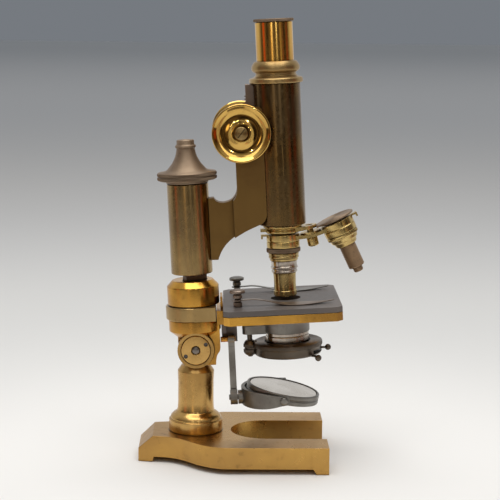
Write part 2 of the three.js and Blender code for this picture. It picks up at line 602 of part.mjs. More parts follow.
function substagePost() {
  const r = POST.radius;
  return turned([[0, 69.8], [r, 69.8], [r, 71], [3, 71], [4.7, 73.2], [4.7, 75.2], [r, 75.2], [r, 99],
    [0, 99]], PLAIN, at(POST.x, 0, 0));
}

function postNut() {
  const r = POST.radius + GAP;
  return ring([[r, 76.8], [4.7, 76.8], [4.7, 78.6], [3, 81.4], [r, 81.4]], PLAIN, at(POST.x, 0, 0));
}

// ---- mirror ----

function mirrorBracket() {
  const m = MIRROR;
  const plate = box([18.7, 29.5], [0.6, 8.5], [81, 96.4]);
  const ear = box([18.7, m.armX - 3.2], [-6.6, 8.5], [88.6, 96.4]);
  return join(plate, ear);
}

function mirrorRod() {
  const m = MIRROR;
  const profile = [[0, 17.7], [1.95, 17.7], [1.95, m.armX + 3.1], [0, m.armX + 3.1]];
  return turned(profile, SMALL, alongX(0, -3.4, m.armTop));
}

function mirrorArm() {
  const m = MIRROR;
  const [x0, x1] = [m.armX - 2.3, m.armX + 2.3];
  const bar = box([x0, x1], [-6.1, -0.7], [m.armBottom, m.armTop - 1]);
  const eyes = [m.armTop, m.armBottom].map((z, i) => rod(i ? 5.2 : 3.3, x0 - 0.3 * i, x1 + 0.3 * i, PLAIN,
    alongX(0, -3.4, z)));
  const holes = [m.armTop, m.armBottom].map((z) => rod(1.95 + 0.2, 0, REACH, SMALL, alongX(0, -3.4, z)));
  return cut(join(bar, ...eyes), ...holes);
}

function mirrorFork() {
  const m = MIRROR;
  const { x, z } = m;
  const side = new THREE.Shape();
  side.moveTo(x + 3.6, z + 3);
  side.quadraticCurveTo(x + 4.2, z, x + 3.6, z - 3);
  side.lineTo(x - 2, z - 3.6);
  side.quadraticCurveTo(x - 14, z - 8.6, x - 25, z - 8.4);
  side.lineTo(x - 31, z - 8.4);
  side.lineTo(x - 31, z + 5.4);
  side.lineTo(x - 27, z + 5.4);
  side.quadraticCurveTo(x - 14, z + 5.4, x - 4, z + 3.4);
  const band = pipe(m.hoopInner, m.hoopOuter, 20, 70, FINE, at(x, 0, 0));
  const hoop = band.intersect(sideSlab(side, -REACH, REACH, 6));
  const stub = turned([[0, 21.6], [1.9, 21.6], [1.9, m.armX + 2.9], [4.9, m.armX + 2.9], [4.9, x - 27.6],
    [0, x - 27.6]], PLAIN, alongX(0, -3.4, m.armBottom));
  const inner = rod(m.hoopInner, 0, REACH, FINE, at(x, 0, 0));
  const pins = rod(1.5, -REACH, REACH, SMALL, alongY(x, 0, z));
  return cut(join(hoop, cut(stub, inner)), pins);
}

function mirrorPin(side) {
  const m = MIRROR;
  return sided(turned([[0, 24.3], [1.2, 24.3], [1.2, m.hoopOuter + GAP], [2.6, m.hoopOuter + GAP],
    [2.6, m.hoopOuter + 1.1], [0, m.hoopOuter + 1.5]], SMALL, alongY(m.x, 0, m.z)), side);
}

const tipped = (angle) => at(MIRROR.x, 0, MIRROR.z).multiply(new THREE.Matrix4().makeRotationY(angle));

function mirrorCell() {
  const m = MIRROR;
  const place = tipped(m.tilt);
  const cell = ring([[22, -1], [24.4, -1], [24.4, -3.5], [m.radius, -3.5], [m.radius, 3.5], [24.4, 3.5],
    [24.4, 1], [22, 1]], FINE, place);
  return cut(cell, rod(1.5, -REACH, REACH, SMALL, alongY(m.x, 0, m.z)));
}

function mirrorGlass(side) {
  const place = tipped(MIRROR.tilt);
  const [back, front] = side > 0 ? [1.3, 3.1] : [-3.1, -1.3];
  return rod(24.1, back, front, FINE, place);
}

// ---- assembly ----

function piece(name, solid, finish) {
  const mesh = new THREE.Mesh(geometryOf(solid), new THREE.MeshStandardMaterial(FINISH[finish]));
  mesh.name = name;
  return mesh;
}

const stand = new THREE.Group();
stand.add(
  piece('foot', foot(), 'brass'),
  piece('foot_bolt', footBolt(), 'steel'),
  piece('pillar', pillar(), 'brass'),
  piece('hinge_pin', hingePin(), 'steel'),
  piece('hinge_nut_near', sided(hingeNut(), -1), 'brass'),
  piece('hinge_nut_far', hingeNut(), 'brass'),
);

const upper = new THREE.Group();
upper.add(
  piece('knuckle_drum', knuckle(), 'brass'),
  piece('drum_top', drumTop(), 'brass'),
  piece('prism_bar', prismBar(), 'steel'),
  piece('stage_bracket', stageBracket(), 'brass'),
  piece('stage_block', stageBlock(), 'brass'),
  piece('stage_plate', stageCarrier(), 'brass'),
  piece('stage_top', stagePlate(STAGE.split, STAGE.top, STAGE.holeRadius), 'black'),
  piece('clip_post_near', clipPost(-1), 'palebrass'),
  piece('clip_leaf_near', clipLeaf(-1), 'gunmetal'),
  piece('clip_post_far', clipPost(1), 'gunmetal'),
  piece('clip_leaf_far', clipLeaf(1), 'gunmetal'),
  piece('column_sleeve', columnSleeve(), 'brass'),
  piece('focus_spring', focusSpring(), 'steel'),
  piece('limb', limb(), 'darkbrass'),
  piece('micrometer_head', micrometerHead(), 'patina'),
  piece('micrometer_screw', micrometerScrew(), 'steel'),
  piece('body_tube', bodyTube(), 'brass'),
  piece('tube_collar', tubeCollar(), 'brass'),
  piece('slide_bar', slideBar(), 'gunmetal'),
  piece('rack', rack(), 'gunmetal'),
  piece('draw_tube', drawTube(), 'brass'),
  piece('eyepiece', eyepiece(), 'brass'),
  piece('eye_lens', lens(8.2, 299.4, 1.2, 1.2, at(TUBE.x, 0, 0)), 'glass'),
  piece('field_lens', lens(10.4, 264, 2, 2, at(TUBE.x, 0, 0)), 'glass'),
  piece('pinion_shaft', pinionShaft(), 'steel'),
  piece('knob_near', sided(knob(), -1), 'brass'),
  piece('knob_far', knob(), 'brass'),
  piece('knob_screw_near', knobScrew(-1), 'brass'),
  piece('knob_screw_far', knobScrew(1), 'brass'),
  piece('nose_plate', nosePlate(), 'palebrass'),
  piece('dust_guard', dustGuard(), 'patina'),
  piece('nose_pivot_screw', pivotScrew(), 'brass'),
  piece('revolver', revolver(), 'palebrass'),
  piece('high_objective', highObjective(), 'palebrass'),
  piece('high_objective_ring', knurledRing(0, 11.9, 109.5, 112.3), 'patina'),
  piece('high_objective_lens', rod(6.6, -133, -130, PLAIN, noseAxis(0)), 'glass'),
  piece('low_objective_mount', lowMount(), 'palebrass'),
  piece('low_objective', lowBarrel(), 'darkbrass'),
  piece('substage_post', substagePost(), 'nickel'),
  piece('post_nut', postNut(), 'patina'),
  piece('condenser_carrier', condenserCarrier(), 'gunmetal'),
  piece('condenser_barrel', condenserBarrel(), 'nickel'),
  piece('condenser_lens', rod(13.2, 92, 96.4, PLAIN, at(TUBE.x, 0, 0)), 'glass'),
  piece('iris_ring', irisRing(), 'gunmetal'),
  piece('iris_lever', irisLever(), 'gunmetal'),
  piece('mirror_bracket', mirrorBracket(), 'black'),
  piece('mirror_rod', mirrorRod(), 'brass'),
  piece('mirror_arm', mirrorArm(), 'gunmetal'),
  piece('mirror_fork', mirrorFork(), 'gunmetal'),
  piece('mirror_pin_near', mirrorPin(-1), 'gunmetal'),
  piece('mirror_pin_far', mirrorPin(1), 'gunmetal'),
  piece('mirror_cell', mirrorCell(), 'patina'),
  piece('mirror_plane', mirrorGlass(1), 'silvered'),
  piece('mirror_concave', mirrorGlass(-1), 'silvered'),
);
upper.position.z = -PIVOT_Z;

const leaning = new THREE.Group();
leaning.add(upper);
leaning.position.z = PIVOT_Z;
leaning.rotation.y = -LEAN;

const microscope = new THREE.Group();
microscope.add(stand, leaning);
microscope.position.x = -CENTRE_X;

export default microscope;
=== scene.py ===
"""Looks of a brass compound microscope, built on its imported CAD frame."""

import json
import math

import bmesh
import bpy
from mathutils import Matrix, Vector


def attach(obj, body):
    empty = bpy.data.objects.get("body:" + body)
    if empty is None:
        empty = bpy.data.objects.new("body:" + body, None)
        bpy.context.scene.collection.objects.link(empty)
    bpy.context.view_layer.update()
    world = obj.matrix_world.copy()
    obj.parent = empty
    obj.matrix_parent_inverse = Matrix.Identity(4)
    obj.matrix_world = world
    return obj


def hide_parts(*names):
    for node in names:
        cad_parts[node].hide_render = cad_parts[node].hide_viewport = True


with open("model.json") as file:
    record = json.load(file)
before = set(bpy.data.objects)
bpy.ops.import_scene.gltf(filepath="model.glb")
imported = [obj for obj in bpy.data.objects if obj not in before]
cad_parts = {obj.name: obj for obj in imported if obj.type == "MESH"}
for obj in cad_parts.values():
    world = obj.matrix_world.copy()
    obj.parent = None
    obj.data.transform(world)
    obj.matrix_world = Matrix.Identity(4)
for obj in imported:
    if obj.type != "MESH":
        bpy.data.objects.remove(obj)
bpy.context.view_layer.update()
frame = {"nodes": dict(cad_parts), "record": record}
nodes = frame["nodes"]

MM = 0.001
REACH = 300
FINE = 128
SMALL = 48
BEND = math.radians(34)      # edges that turn further than this are drawn sharp


# ---- frames ----

def at(x, y, z):
    return Matrix.Translation((x * MM, y * MM, z * MM))


def turn(degrees, axis):
    return Matrix.Rotation(math.radians(degrees), 4, axis)


PIVOT_Z = 78.4
STAND = at(-38.9, 0, 0)
UPPER = STAND @ at(0, 0, PIVOT_Z) @ turn(-3.24, "Y") @ at(0, 0, -PIVOT_Z)
ACROSS = turn(-90, "X")      # local Z points along +Y
ALONG = turn(90, "Y")        # local Z points along +X
TUBE_X = 64.8
TUBE = UPPER @ at(TUBE_X, 0, 0)
POST = UPPER @ at(38.2, 0, 0)
PINION = UPPER @ at(38.8, 0, 229.1) @ ACROSS
APEX_Z = 255.9               # where the axes of the nosepiece's two sockets meet
SPREAD = 22.2                # degrees between those axes
MIDDLE = SPREAD / 2


def nose(degrees):
    return UPPER @ at(TUBE_X, 0, APEX_Z) @ turn(-degrees, "Y")


# ---- outlines, in millimetres ----

def arc(x, y, radius, start, end, steps=32):
    angles = [math.radians(start + (end - start) * i / steps) for i in range(steps + 1)]
    return [(x + radius * math.cos(a), y + radius * math.sin(a)) for a in angles]


def bend(a, b, c, steps=16):
    """A quadratic curve from a to c, pulled towards b, without its first point."""
    points = []
    for i in range(1, steps + 1):
        t = i / steps
        u = 1 - t
        points.append(tuple(u * u * p + 2 * u * t * q + t * t * r for p, q, r in zip(a, b, c)))
    return points


def eased(points, radius, closed):
    """The same outline with its sharp corners rounded off."""
    result = []
    count = len(points)
    for i, point in enumerate(points):
        if not closed and i in (0, count - 1):
            result.append(point)
            continue
        corner = Vector(point)
        back = Vector(points[i - 1]) - corner
        ahead = Vector(points[(i + 1) % count]) - corner
        if min(back.length, ahead.length) < 1e-6 or back.angle(ahead) > math.radians(155):
            result.append(point)
            continue
        near = min(radius, 0.42 * back.length, 0.42 * ahead.length)
        start = corner + back.normalized() * near
        end = corner + ahead.normalized() * near
        result.append(tuple(start))
        result.extend(bend(tuple(start), tuple(corner), tuple(end), 4))
    return result


# ---- meshes, in metres ----

def mesh_of(vertices, faces):
    mesh = bpy.data.meshes.new("part")
    mesh.from_pydata([tuple(c * MM for c in v) for v in vertices], [], faces)
    body = bmesh.new()
    body.from_mesh(mesh)
    bmesh.ops.recalc_face_normals(body, faces=body.faces)
    body.to_mesh(mesh)
    body.free()
    return mesh


def lathe(profile, steps=FINE, ease=0.25, mill=()):
    """A turned body. A profile that starts off the axis is closed into a ring.
    Each mill entry is (low, high, depth): the straight milling cut between two heights."""
    closed = profile[0][0] > 0
    points = eased(profile, ease, closed)
    vertices = []
    rows = []
    for radius, height in points:
        if radius < 1e-6:
            rows.append([len(vertices)] * steps)
            vertices.append((0, 0, height))
            continue
        rows.append(list(range(len(vertices), len(vertices) + steps)))
        depth = max([d for low, high, d in mill if low <= height <= high], default=0)
        for k in range(steps):
            angle = 2 * math.pi * k / steps
            r = radius - (depth if k % 2 else 0)
            vertices.append((r * math.cos(angle), r * math.sin(angle), height))
    faces = []
    for low, high in zip(rows, rows[1:] + ([rows[0]] if closed else [])):
        for k in range(steps):
            j = (k + 1) % steps
            face = list(dict.fromkeys([low[k], low[j], high[j], high[k]]))
            if len(face) > 2:
                faces.append(face)
    return mesh_of(vertices, faces)


def extruded(outline, low, high, lift):
    count = len(outline)
    vertices = [lift(a, b, low) for a, b in outline] + [lift(a, b, high) for a, b in outline]
    sides = [[i, (i + 1) % count, count + (i + 1) % count, count + i] for i in range(count)]
    return mesh_of(vertices, [list(range(count)), list(range(count, 2 * count))] + sides)


def prism(outline, low, high):
    return extruded(outline, low, high, lambda a, b, c: (a, b, c))


def side(outline, low, high):
    """An XZ outline with its thickness along Y."""
    return extruded(outline, low, high, lambda a, b, c: (a, c, b))


def box(x, y, z):
    return prism([(x[0], y[0]), (x[1], y[0]), (x[1], y[1]), (x[0], y[1])], z[0], z[1])


def rod(radius, low, high, steps=FINE, ease=0):
    return lathe([(0, low), (radius, low), (radius, high), (0, high)], steps, ease)


def moved(mesh, matrix):
    mesh.transform(matrix)
    return mesh


def combined(base, tools, operation):
    body = bpy.data.objects.new("base", base)
    bpy.context.scene.collection.objects.link(body)
    helpers = []
    for tool in tools:
        helper = bpy.data.objects.new("tool", tool)
        bpy.context.scene.collection.objects.link(helper)
        helpers.append(helper)
        step = body.modifiers.new("step", "BOOLEAN")
        step.operation = operation
        step.solver = "EXACT"
        step.object = helper
    bpy.context.view_layer.update()
    graph = bpy.context.evaluated_depsgraph_get()
    result = bpy.data.meshes.new_from_object(body.evaluated_get(graph))
    for item in [body] + helpers:
        bpy.data.objects.remove(item)
    return result


def joined(base, *others):
    return combined(base, others, "UNION")


def cut(base, *tools):
    return combined(base, tools, "DIFFERENCE")


def overlap(base, other):
    return combined(base, [other], "INTERSECT")


# ---- procedural metal ----

class Nodes:
    """A short way to write a material's nodes."""

    def __init__(self, name):
        self.material = bpy.data.materials.new(name)
        self.material.use_nodes = True
        self.tree = self.material.node_tree
        self.shader = self.tree.nodes["Principled BSDF"]
        coordinates = self.tree.nodes.new("ShaderNodeTexCoord")
        self.place = coordinates.outputs["Object"]

    def link(self, source, target):
        self.tree.links.new(source, target)

    def mapped(self, scale):
        node = self.tree.nodes.new("ShaderNodeMapping")
        node.inputs["Scale"].default_value = scale
        self.link(self.place, node.inputs["Vector"])
        return node.outputs["Vector"]

    def noise(self, scale, detail=4, stretch=None, distortion=0.0, offset=0.0):
        node = self.tree.nodes.new("ShaderNodeTexNoise")
        node.noise_dimensions = "4D"
        node.inputs["W"].default_value = offset
        node.inputs["Scale"].default_value = scale
        node.inputs["Detail"].default_value = detail
        node.inputs["Distortion"].default_value = distortion
        self.link(self.mapped(stretch) if stretch else self.place, node.inputs["Vector"])
        return node.outputs["Fac"]

    def ramp(self, value, low, high, out_low=0.0, out_high=1.0):
        node = self.tree.nodes.new("ShaderNodeMapRange")
        node.interpolation_type = "SMOOTHSTEP"
        for name, number in (("From Min", low), ("From Max", high), ("To Min", out_low),
                             ("To Max", out_high)):
            node.inputs[name].default_value = number
        self.link(value, node.inputs["Value"])
        return node.outputs["Result"]

    def math(self, operation, a, b):
        node = self.tree.nodes.new("ShaderNodeMath")
        node.operation = operation
        for socket, value in zip(node.inputs, (a, b)):
            if isinstance(value, (int, float)):
                socket.default_value = value
            else:
                self.link(value, socket)
        return node.outputs["Value"]

    def mix(self, factor, first, second):
        node = self.tree.nodes.new("ShaderNodeMix")
        node.data_type = "RGBA"
        sockets = [s for s in node.inputs if s.type == "RGBA"]
        for socket, value in zip(sockets, (first, second)):
            if isinstance(value, tuple):
                socket.default_value = (*value, 1)
            else:
                self.link(value, socket)
        self.link(factor, node.inputs["Factor"])
        return [s for s in node.outputs if s.type == "RGBA"][0]

    # Painted shade: ambient occlusion turned into a mask that is 1 where a point is hemmed in by nearby
    # surfaces, its own or other parts'.
    def crevice_shade(self, distance):
        node = self.tree.nodes.new("ShaderNodeAmbientOcclusion")
        node.samples = 8
        node.inputs["Distance"].default_value = distance * MM
        return self.ramp(node.outputs["AO"], 0.45, 0.95, 1.0, 0.0)

    def along_the_turning(self):
        """Fine turning marks run round the piece, so its highlights stretch along its axis."""
        node = self.tree.nodes.new("ShaderNodeTangent")
        node.direction_type = "RADIAL"
        node.axis = "Z"
        self.link(node.outputs["Tangent"], self.shader.inputs["Tangent"])
        self.shader.inputs["Anisotropic"].default_value = 0.7
        self.shader.inputs["Anisotropic Rotation"].default_value = 0.25

    def bump(self, height, strength, distance):
        node = self.tree.nodes.new("ShaderNodeBump")
        node.inputs["Strength"].default_value = strength
        node.inputs["Distance"].default_value = distance * MM
        self.link(height, node.inputs["Height"])
        self.link(node.outputs["Normal"], self.shader.inputs["Normal"])


def metal(name, clean, tarnish, stain, rough=(0.16, 0.38), amount=0.5, streak=0.4, lines=0.0,
          metallic=1.0, patch=28, dirt_and_shade=0.7, grain=0.15, offset=0.0, scratches=0.0):
    """Old metal: clean and tarnished colours in soft patches, darker specks and stains, streaks along the
    piece's own axis, painted shade darkening its corners, crevices and the places where parts meet, where
    grime would also gather, and lathe lines where it was turned."""
    n = Nodes(name)
    clouds = n.noise(patch, 5, distortion=0.5, offset=offset)
    specks = n.noise(patch * 13, 3, offset=offset + 3)
    streaks = n.noise(patch * 5, 4, stretch=(1, 1, 0.06), offset=offset + 5)
    tone_and_shade = n.mix(n.ramp(clouds, 0.36, 0.68), clean, tarnish)
    tone_and_shade = n.mix(n.math("MULTIPLY", n.ramp(streaks, 0.45, 0.78), streak), tone_and_shade, tarnish)
    spotty = n.math("MULTIPLY", n.ramp(specks, 0.56, 0.74), n.ramp(clouds, 0.42, 0.7))
    tone_and_shade = n.mix(n.math("MULTIPLY", spotty, amount), tone_and_shade, stain)
    # Painted shade: the ambient occlusion mask darkens the colour towards near-black in corners, crevices and
    # where parts meet.
    tone_and_shade = n.mix(n.math("MULTIPLY", n.crevice_shade(1.6), dirt_and_shade), tone_and_shade, tuple(c * 0.35 for c in stain))
    n.link(tone_and_shade, n.shader.inputs["Base Color"])
    wear = n.math("ADD", n.math("MULTIPLY", clouds, 0.55), n.math("MULTIPLY", specks, 0.25))
    if scratches:
        marks = n.ramp(n.noise(patch * 26, 2, stretch=(1, 1, 0.05), offset=offset + 8), 0.6, 0.72)
        wear = n.math("ADD", wear, n.math("MULTIPLY", marks, scratches))
    n.link(n.ramp(wear, 0.25, 0.62, rough[0], rough[1]), n.shader.inputs["Roughness"])
    n.shader.inputs["Metallic"].default_value = metallic
    height = n.math("MULTIPLY", n.noise(900, 3, offset=offset + 9), grain)
    if lines:
        n.along_the_turning()
        turned = n.noise(2600, 2, stretch=(0.004, 0.004, 1), offset=offset + 11)
        height = n.math("ADD", height, n.math("MULTIPLY", turned, lines))
    n.bump(height, 0.5, 0.05)
    return n.material


def glass(name, tint, roughness):
    n = Nodes(name)
    n.shader.inputs["Transmission Weight"].default_value = 1
    n.shader.inputs["IOR"].default_value = 1.5
    haze = n.noise(140, 4)
    n.link(n.mix(n.ramp(haze, 0.4, 0.7), tint, tuple(c * 0.92 for c in tint)), n.shader.inputs["Base Color"])
    n.link(n.ramp(haze, 0.45, 0.75, roughness, roughness * 3), n.shader.inputs["Roughness"])
    return n.material


GOLD = metal("polished_brass", (0.72, 0.385, 0.07), (0.46, 0.235, 0.05), (0.15, 0.08, 0.03),
             rough=(0.17, 0.3), amount=0.5, streak=0.3, lines=0.2, grain=0.08)
PILLAR_BRASS = metal("pillar_brass", (0.60, 0.37, 0.125), (0.44, 0.26, 0.085), (0.15, 0.085, 0.035),
                     rough=(0.22, 0.34), amount=0.6, streak=0.4, lines=0.2, grain=0.08, offset=7)
DRAWN = metal("drawn_brass", (0.80, 0.48, 0.12), (0.60, 0.33, 0.07), (0.22, 0.12, 0.04),
              rough=(0.18, 0.3), amount=0.4, streak=0.4, lines=0.5, offset=30)
MIRRORED = metal("knob_brass", (0.74, 0.47, 0.13), (0.60, 0.36, 0.09), (0.22, 0.12, 0.04),
                 rough=(0.05, 0.16), amount=0.4, streak=0.1, offset=1)
TUBE_BRASS = metal("tube_brass", (0.20, 0.12, 0.042), (0.125, 0.08, 0.036), (0.27, 0.19, 0.10),
                   rough=(0.18, 0.4), amount=0.5, streak=0.8, lines=0.25, patch=30, offset=2, scratches=0.5)
SLEEVE_BRASS = metal("sleeve_brass", (0.43, 0.295, 0.12), (0.27, 0.18, 0.085), (0.15, 0.105, 0.06),
                     rough=(0.2, 0.34), amount=0.6, streak=0.8, lines=0.5, patch=24, offset=3, scratches=0.3)
FOOT_BRASS = metal("foot_brass", (0.62, 0.36, 0.095), (0.44, 0.25, 0.08), (0.14, 0.08, 0.035),
                   rough=(0.24, 0.4), amount=0.7, streak=0.2, patch=16, grain=0.12, offset=4, scratches=0.25)
SATIN = metal("satin_brass", (0.50, 0.345, 0.15), (0.37, 0.245, 0.10), (0.15, 0.095, 0.05),
              rough=(0.3, 0.44), amount=0.5, streak=0.3, lines=0.5, offset=6)
PALE = metal("pale_brass", (0.70, 0.52, 0.21), (0.52, 0.37, 0.14), (0.18, 0.12, 0.06),
             rough=(0.18, 0.32), amount=0.6, streak=0.3, lines=0.12, grain=0.06, dirt_and_shade=0.5, patch=60, offset=8)
OPTIC = metal("objective_brass", (0.54, 0.40, 0.17), (0.38, 0.27, 0.11), (0.14, 0.10, 0.055),
              rough=(0.18, 0.32), amount=0.6, streak=0.3, lines=0.12, grain=0.06, dirt_and_shade=0.6, patch=60,
              offset=9)
BROWN = metal("brown_brass", (0.245, 0.145, 0.047), (0.185, 0.105, 0.036), (0.12, 0.075, 0.035),
              rough=(0.4, 0.56), amount=0.7, streak=0.3, patch=26, grain=0.5, offset=10)
COPPER = metal("brown_lacquer", (0.36, 0.23, 0.125), (0.28, 0.18, 0.10), (0.12, 0.08, 0.05),
               rough=(0.5, 0.64), amount=0.6, streak=0.2, lines=0.3, patch=60, offset=12, metallic=0.6)
PATINA = metal("patinated_brass", (0.33, 0.24, 0.16), (0.255, 0.18, 0.12), (0.12, 0.09, 0.065),
               rough=(0.5, 0.66), amount=0.6, streak=0.15, lines=0.3, patch=36, grain=0.8, offset=14,
               metallic=0.75)
BRONZE = metal("dark_bronze", (0.15, 0.125, 0.10), (0.105, 0.085, 0.065), (0.20, 0.15, 0.10),
               rough=(0.36, 0.52), amount=0.5, streak=0.15, lines=0.3, patch=40, grain=0.5, offset=15)
GUN = metal("gunmetal", (0.28, 0.268, 0.245), (0.20, 0.188, 0.17), (0.08, 0.065, 0.05),
            rough=(0.38, 0.54), amount=0.5, streak=0.25, patch=50, grain=0.3, offset=16, scratches=0.2)
LEAF = metal("spring_leaf", (0.34, 0.27, 0.22), (0.25, 0.195, 0.16), (0.12, 0.09, 0.07),
             rough=(0.38, 0.52), amount=0.5, streak=0.2, patch=50, offset=17)
NICKEL = metal("nickel_plate", (0.60, 0.565, 0.51), (0.42, 0.36, 0.30), (0.17, 0.12, 0.09),
               rough=(0.16, 0.32), amount=0.8, streak=0.4, lines=0.4, patch=46, offset=18)
STEEL = metal("steel", (0.25, 0.225, 0.20), (0.18, 0.155, 0.135), (0.09, 0.07, 0.055),
              rough=(0.32, 0.48), amount=0.7, lines=0.3, patch=60, offset=20)
EBONITE = metal("ebonite", (0.108, 0.093, 0.086), (0.14, 0.118, 0.107), (0.17, 0.125, 0.09),
                rough=(0.4, 0.56), amount=0.5, streak=0.0, metallic=0.0, patch=22, grain=0.6, offset=22)
LENS = glass("lens_glass", (0.96, 0.98, 0.97), 0.01)
SILVER = metal("silvered_glass", (0.80, 0.745, 0.67), (0.72, 0.665, 0.59), (0.50, 0.44, 0.36),
               rough=(0.16, 0.3), amount=0.35, streak=0.0, patch=60, grain=0.02, dirt_and_shade=0.3, offset=24)


# ---- placing pieces ----

def body_of(node):
    return next(b for b, names in frame["record"]["behaviour"]["bodies"].items() if node in names)


def soften(thing, width, crease):
    step = thing.modifiers.new("edge", "BEVEL")
    step.width = width * MM
    step.segments = 2
    step.limit_method = "ANGLE"
    step.angle_limit = crease
    step.harden_normals = True


def piece(node, mesh, place, material, edge=0.0, crease=BEND):
    """A detailed body that stands for a CAD node."""
    thing = bpy.data.objects.new(node + "_detail", mesh)
    bpy.context.scene.collection.objects.link(thing)
    mesh.materials.clear()
    mesh.materials.append(material)
    body = bmesh.new()
    body.from_mesh(mesh)
    bmesh.ops.remove_doubles(body, verts=body.verts, dist=1e-6)
    for line in body.edges:
        line.smooth = len(line.link_faces) == 2 and line.calc_face_angle(0) < crease
    for face in body.faces:
        face.smooth = True
        face.material_index = 0
    body.to_mesh(mesh)
    body.free()
    thing.matrix_world = place
    if edge:
        soften(thing, edge, crease)
    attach(thing, body_of(node))
    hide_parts(node)
    return thing


def kept(node, material, edge=0.0):
    """A CAD node whose shape is right: it gets a finish and softened edges."""
    thing = nodes[node]
    thing.data.materials.clear()
    thing.data.materials.append(material)
    if edge:
        soften(thing, edge, BEND)


# ---- foot and pillar ----

foot_outline = ([(-39.9, -17), (-25.2, -20.2)] + bend((-25.2, -20.2), (-14, -20.9), (-3.5, -33.5))
                + bend((-3.5, -33.5), (7.5, -46.6), (20, -49.5)) + [(92.1, -49.5), (92.1, -24.8)]
                + arc(49.9, 0, 24.8, -90, -270, 64) + [(92.1, 24.8), (92.1, 49.5), (20, 49.5)]
                + bend((20, 49.5), (7.5, 46.6), (-3.5, 33.5)) + bend((-3.5, 33.5), (-14, 20.9), (-25.2, 20.2))
                + [(-39.9, 17)])
slope = side([(-45, 5), (-39.9, 9.5), (-29.8, 18.7), (-29.8, 25), (-45, 25)], -REACH, REACH)
arch = side([(-30.3, -1), (-28.9, 3.7), (81.3, 3.7), (84.2, -1)], -REACH, REACH)
piece("foot", cut(prism(foot_outline, 0, 18.7), slope, arch, rod(8.4, 8.7, 40), rod(3.4, -1, 12)),
      STAND, FOOT_BRASS, 0.35, math.radians(8))
kept("foot_bolt", STEEL, 0.2)

column = lathe([(0, 9), (8, 9), (8, 18.7), (18.8, 18.7), (19, 19.2), (19, 26.8), (18.7, 27.3), (17.9, 27.5),
                (18, 28.3), (17.4, 29.7), (16, 31.1), (14.4, 32.1), (13.4, 33.1), (12.9, 34.6), (12.6, 40),
                (12.6, 54.6), (12.9, 61.9), (9.9, 66.4), (0, 66.4)])
cheeks = moved(rod(12.8, -12.6, 12.6), at(0, 0, PIVOT_Z) @ ACROSS)
nut_seats = [moved(rod(10.7, low, high), at(0, 0, PIVOT_Z) @ ACROSS)
             for low, high in ((11.1, 40), (-40, -11.1))]
piece("pillar", cut(joined(column, cheeks), box((-60, 60), (-5.6, 5.6), (65.9, 200)),
                    moved(rod(2.8, -60, 60, SMALL), at(0, 0, PIVOT_Z) @ ACROSS), *nut_seats,
                    rod(3.5, 0, 16.5)),
      STAND, PILLAR_BRASS, 0.35)
pin_frame = STAND @ at(0, 0, PIVOT_Z) @ ACROSS
piece("hinge_pin", lathe([(0, -13.2), (1.5, -13.2), (2.5, -12.8), (2.5, 12.8), (1.5, 13.2), (0, 13.2)],
                         SMALL),
      pin_frame, STEEL)
for node, turned_over in (("hinge_nut_near", True), ("hinge_nut_far", False)):
    disc = lathe([(2.8, 11.4), (10.4, 11.4), (10.4, 12.2), (9.9, 12.6), (3.4, 12.6), (2.8, 12.2)], ease=0.1)
    spanner = [moved(rod(1.5, 11.8, 30, SMALL), at(7 * s, -4.3 * s, 0)) for s in (-1, 1)]
    disc = cut(disc, *spanner)
    nut = piece(node, moved(disc, Matrix.Scale(-1, 4, (0, 0, 1))) if turned_over else disc, pin_frame,
                PILLAR_BRASS)
    # Painted shade: the walls and floors of the shallow spanner holes take the black ebonite finish, so the
    # holes are drawn dark as if shaded.
    nut.data.materials.append(EBONITE)
    for face in nut.data.polygons:
        x, y, z = face.center / MM
        if abs(z) < 12.55 and min(math.hypot(x - 7 * s, y + 4.3 * s) for s in (-1, 1)) < 1.6:
            face.material_index = 1

# ---- knuckle, drum and stage ----

drum = lathe([(0, 85.4), (10.9, 85.4), (18.2, 91.4), (18.2, 99.5), (13.5, 99.5), (13.5, 109.4), (0, 109.4)])
tongue = joined(moved(rod(12.2, -5.3, 5.3), at(0, 0, PIVOT_Z) @ ACROSS),
                box((-12.2, 12.2), (-5.3, 5.3), (78.4, 92)))
tail = side([(6, 95), (6, 66.8), (13.7, 66.8)] + bend((13.7, 66.8), (13.9, 73.2), (16, 75.4))
            + bend((16, 75.4), (17.3, 77), (17.3, 79.5)) + [(17.3, 95)], -9, 9)
clearance = cut(moved(rod(13.3, -60, 60), at(0, 0, PIVOT_Z) @ ACROSS), box((-60, 60), (-5.3, 5.3), (0, 200)))
piece("knuckle_drum", cut(joined(drum, tail, tongue), clearance,
                          moved(rod(2.8, -60, 60, SMALL), at(0, 0, PIVOT_Z) @ ACROSS)), UPPER, GOLD, 0.35)


def bar_outline(offset):
    points = []
    for i in range(3):
        angle = math.radians(120 * i)
        reach = 10.2 + offset
        half = (11 + 2 * offset - reach) * math.tan(math.radians(60))
        points += [(reach * math.cos(angle) - s * half * math.sin(angle),
                    reach * math.sin(angle) + s * half * math.cos(angle)) for s in (-1, 1)]
    return points


piece("drum_top", cut(lathe([(0, 109.7), (17.7, 109.7), (18.2, 110.2), (18.2, 122.9), (14.4, 127), (0, 127)],
                            ease=0.5), prism(bar_outline(0.3), 111.2, 200)),
      UPPER, GOLD, 0.2)
kept("prism_bar", STEEL, 0.3)
band = lathe([(0, 99.8), (19.3, 99.8), (19.75, 100.4), (19.75, 108.8), (19.3, 109.4), (0, 109.4)])
piece("stage_bracket", cut(joined(band, box((0, 15.3), (-19.75, 19.75), (99.8, 109.4))), rod(13.8, 0, 200),
                           box((15.5, 60), (-60, 60), (0, 200))), UPPER, SATIN, 0.3)
kept("stage_block", GOLD, 0.3)


def stage_outline(x0, x1, y, c):
    return [(x0 + c, -y), (x1 - c, -y), (x1, c - y), (x1, y - c), (x1 - c, y), (x0 + c, y), (x0, y - c),
            (x0, c - y)]


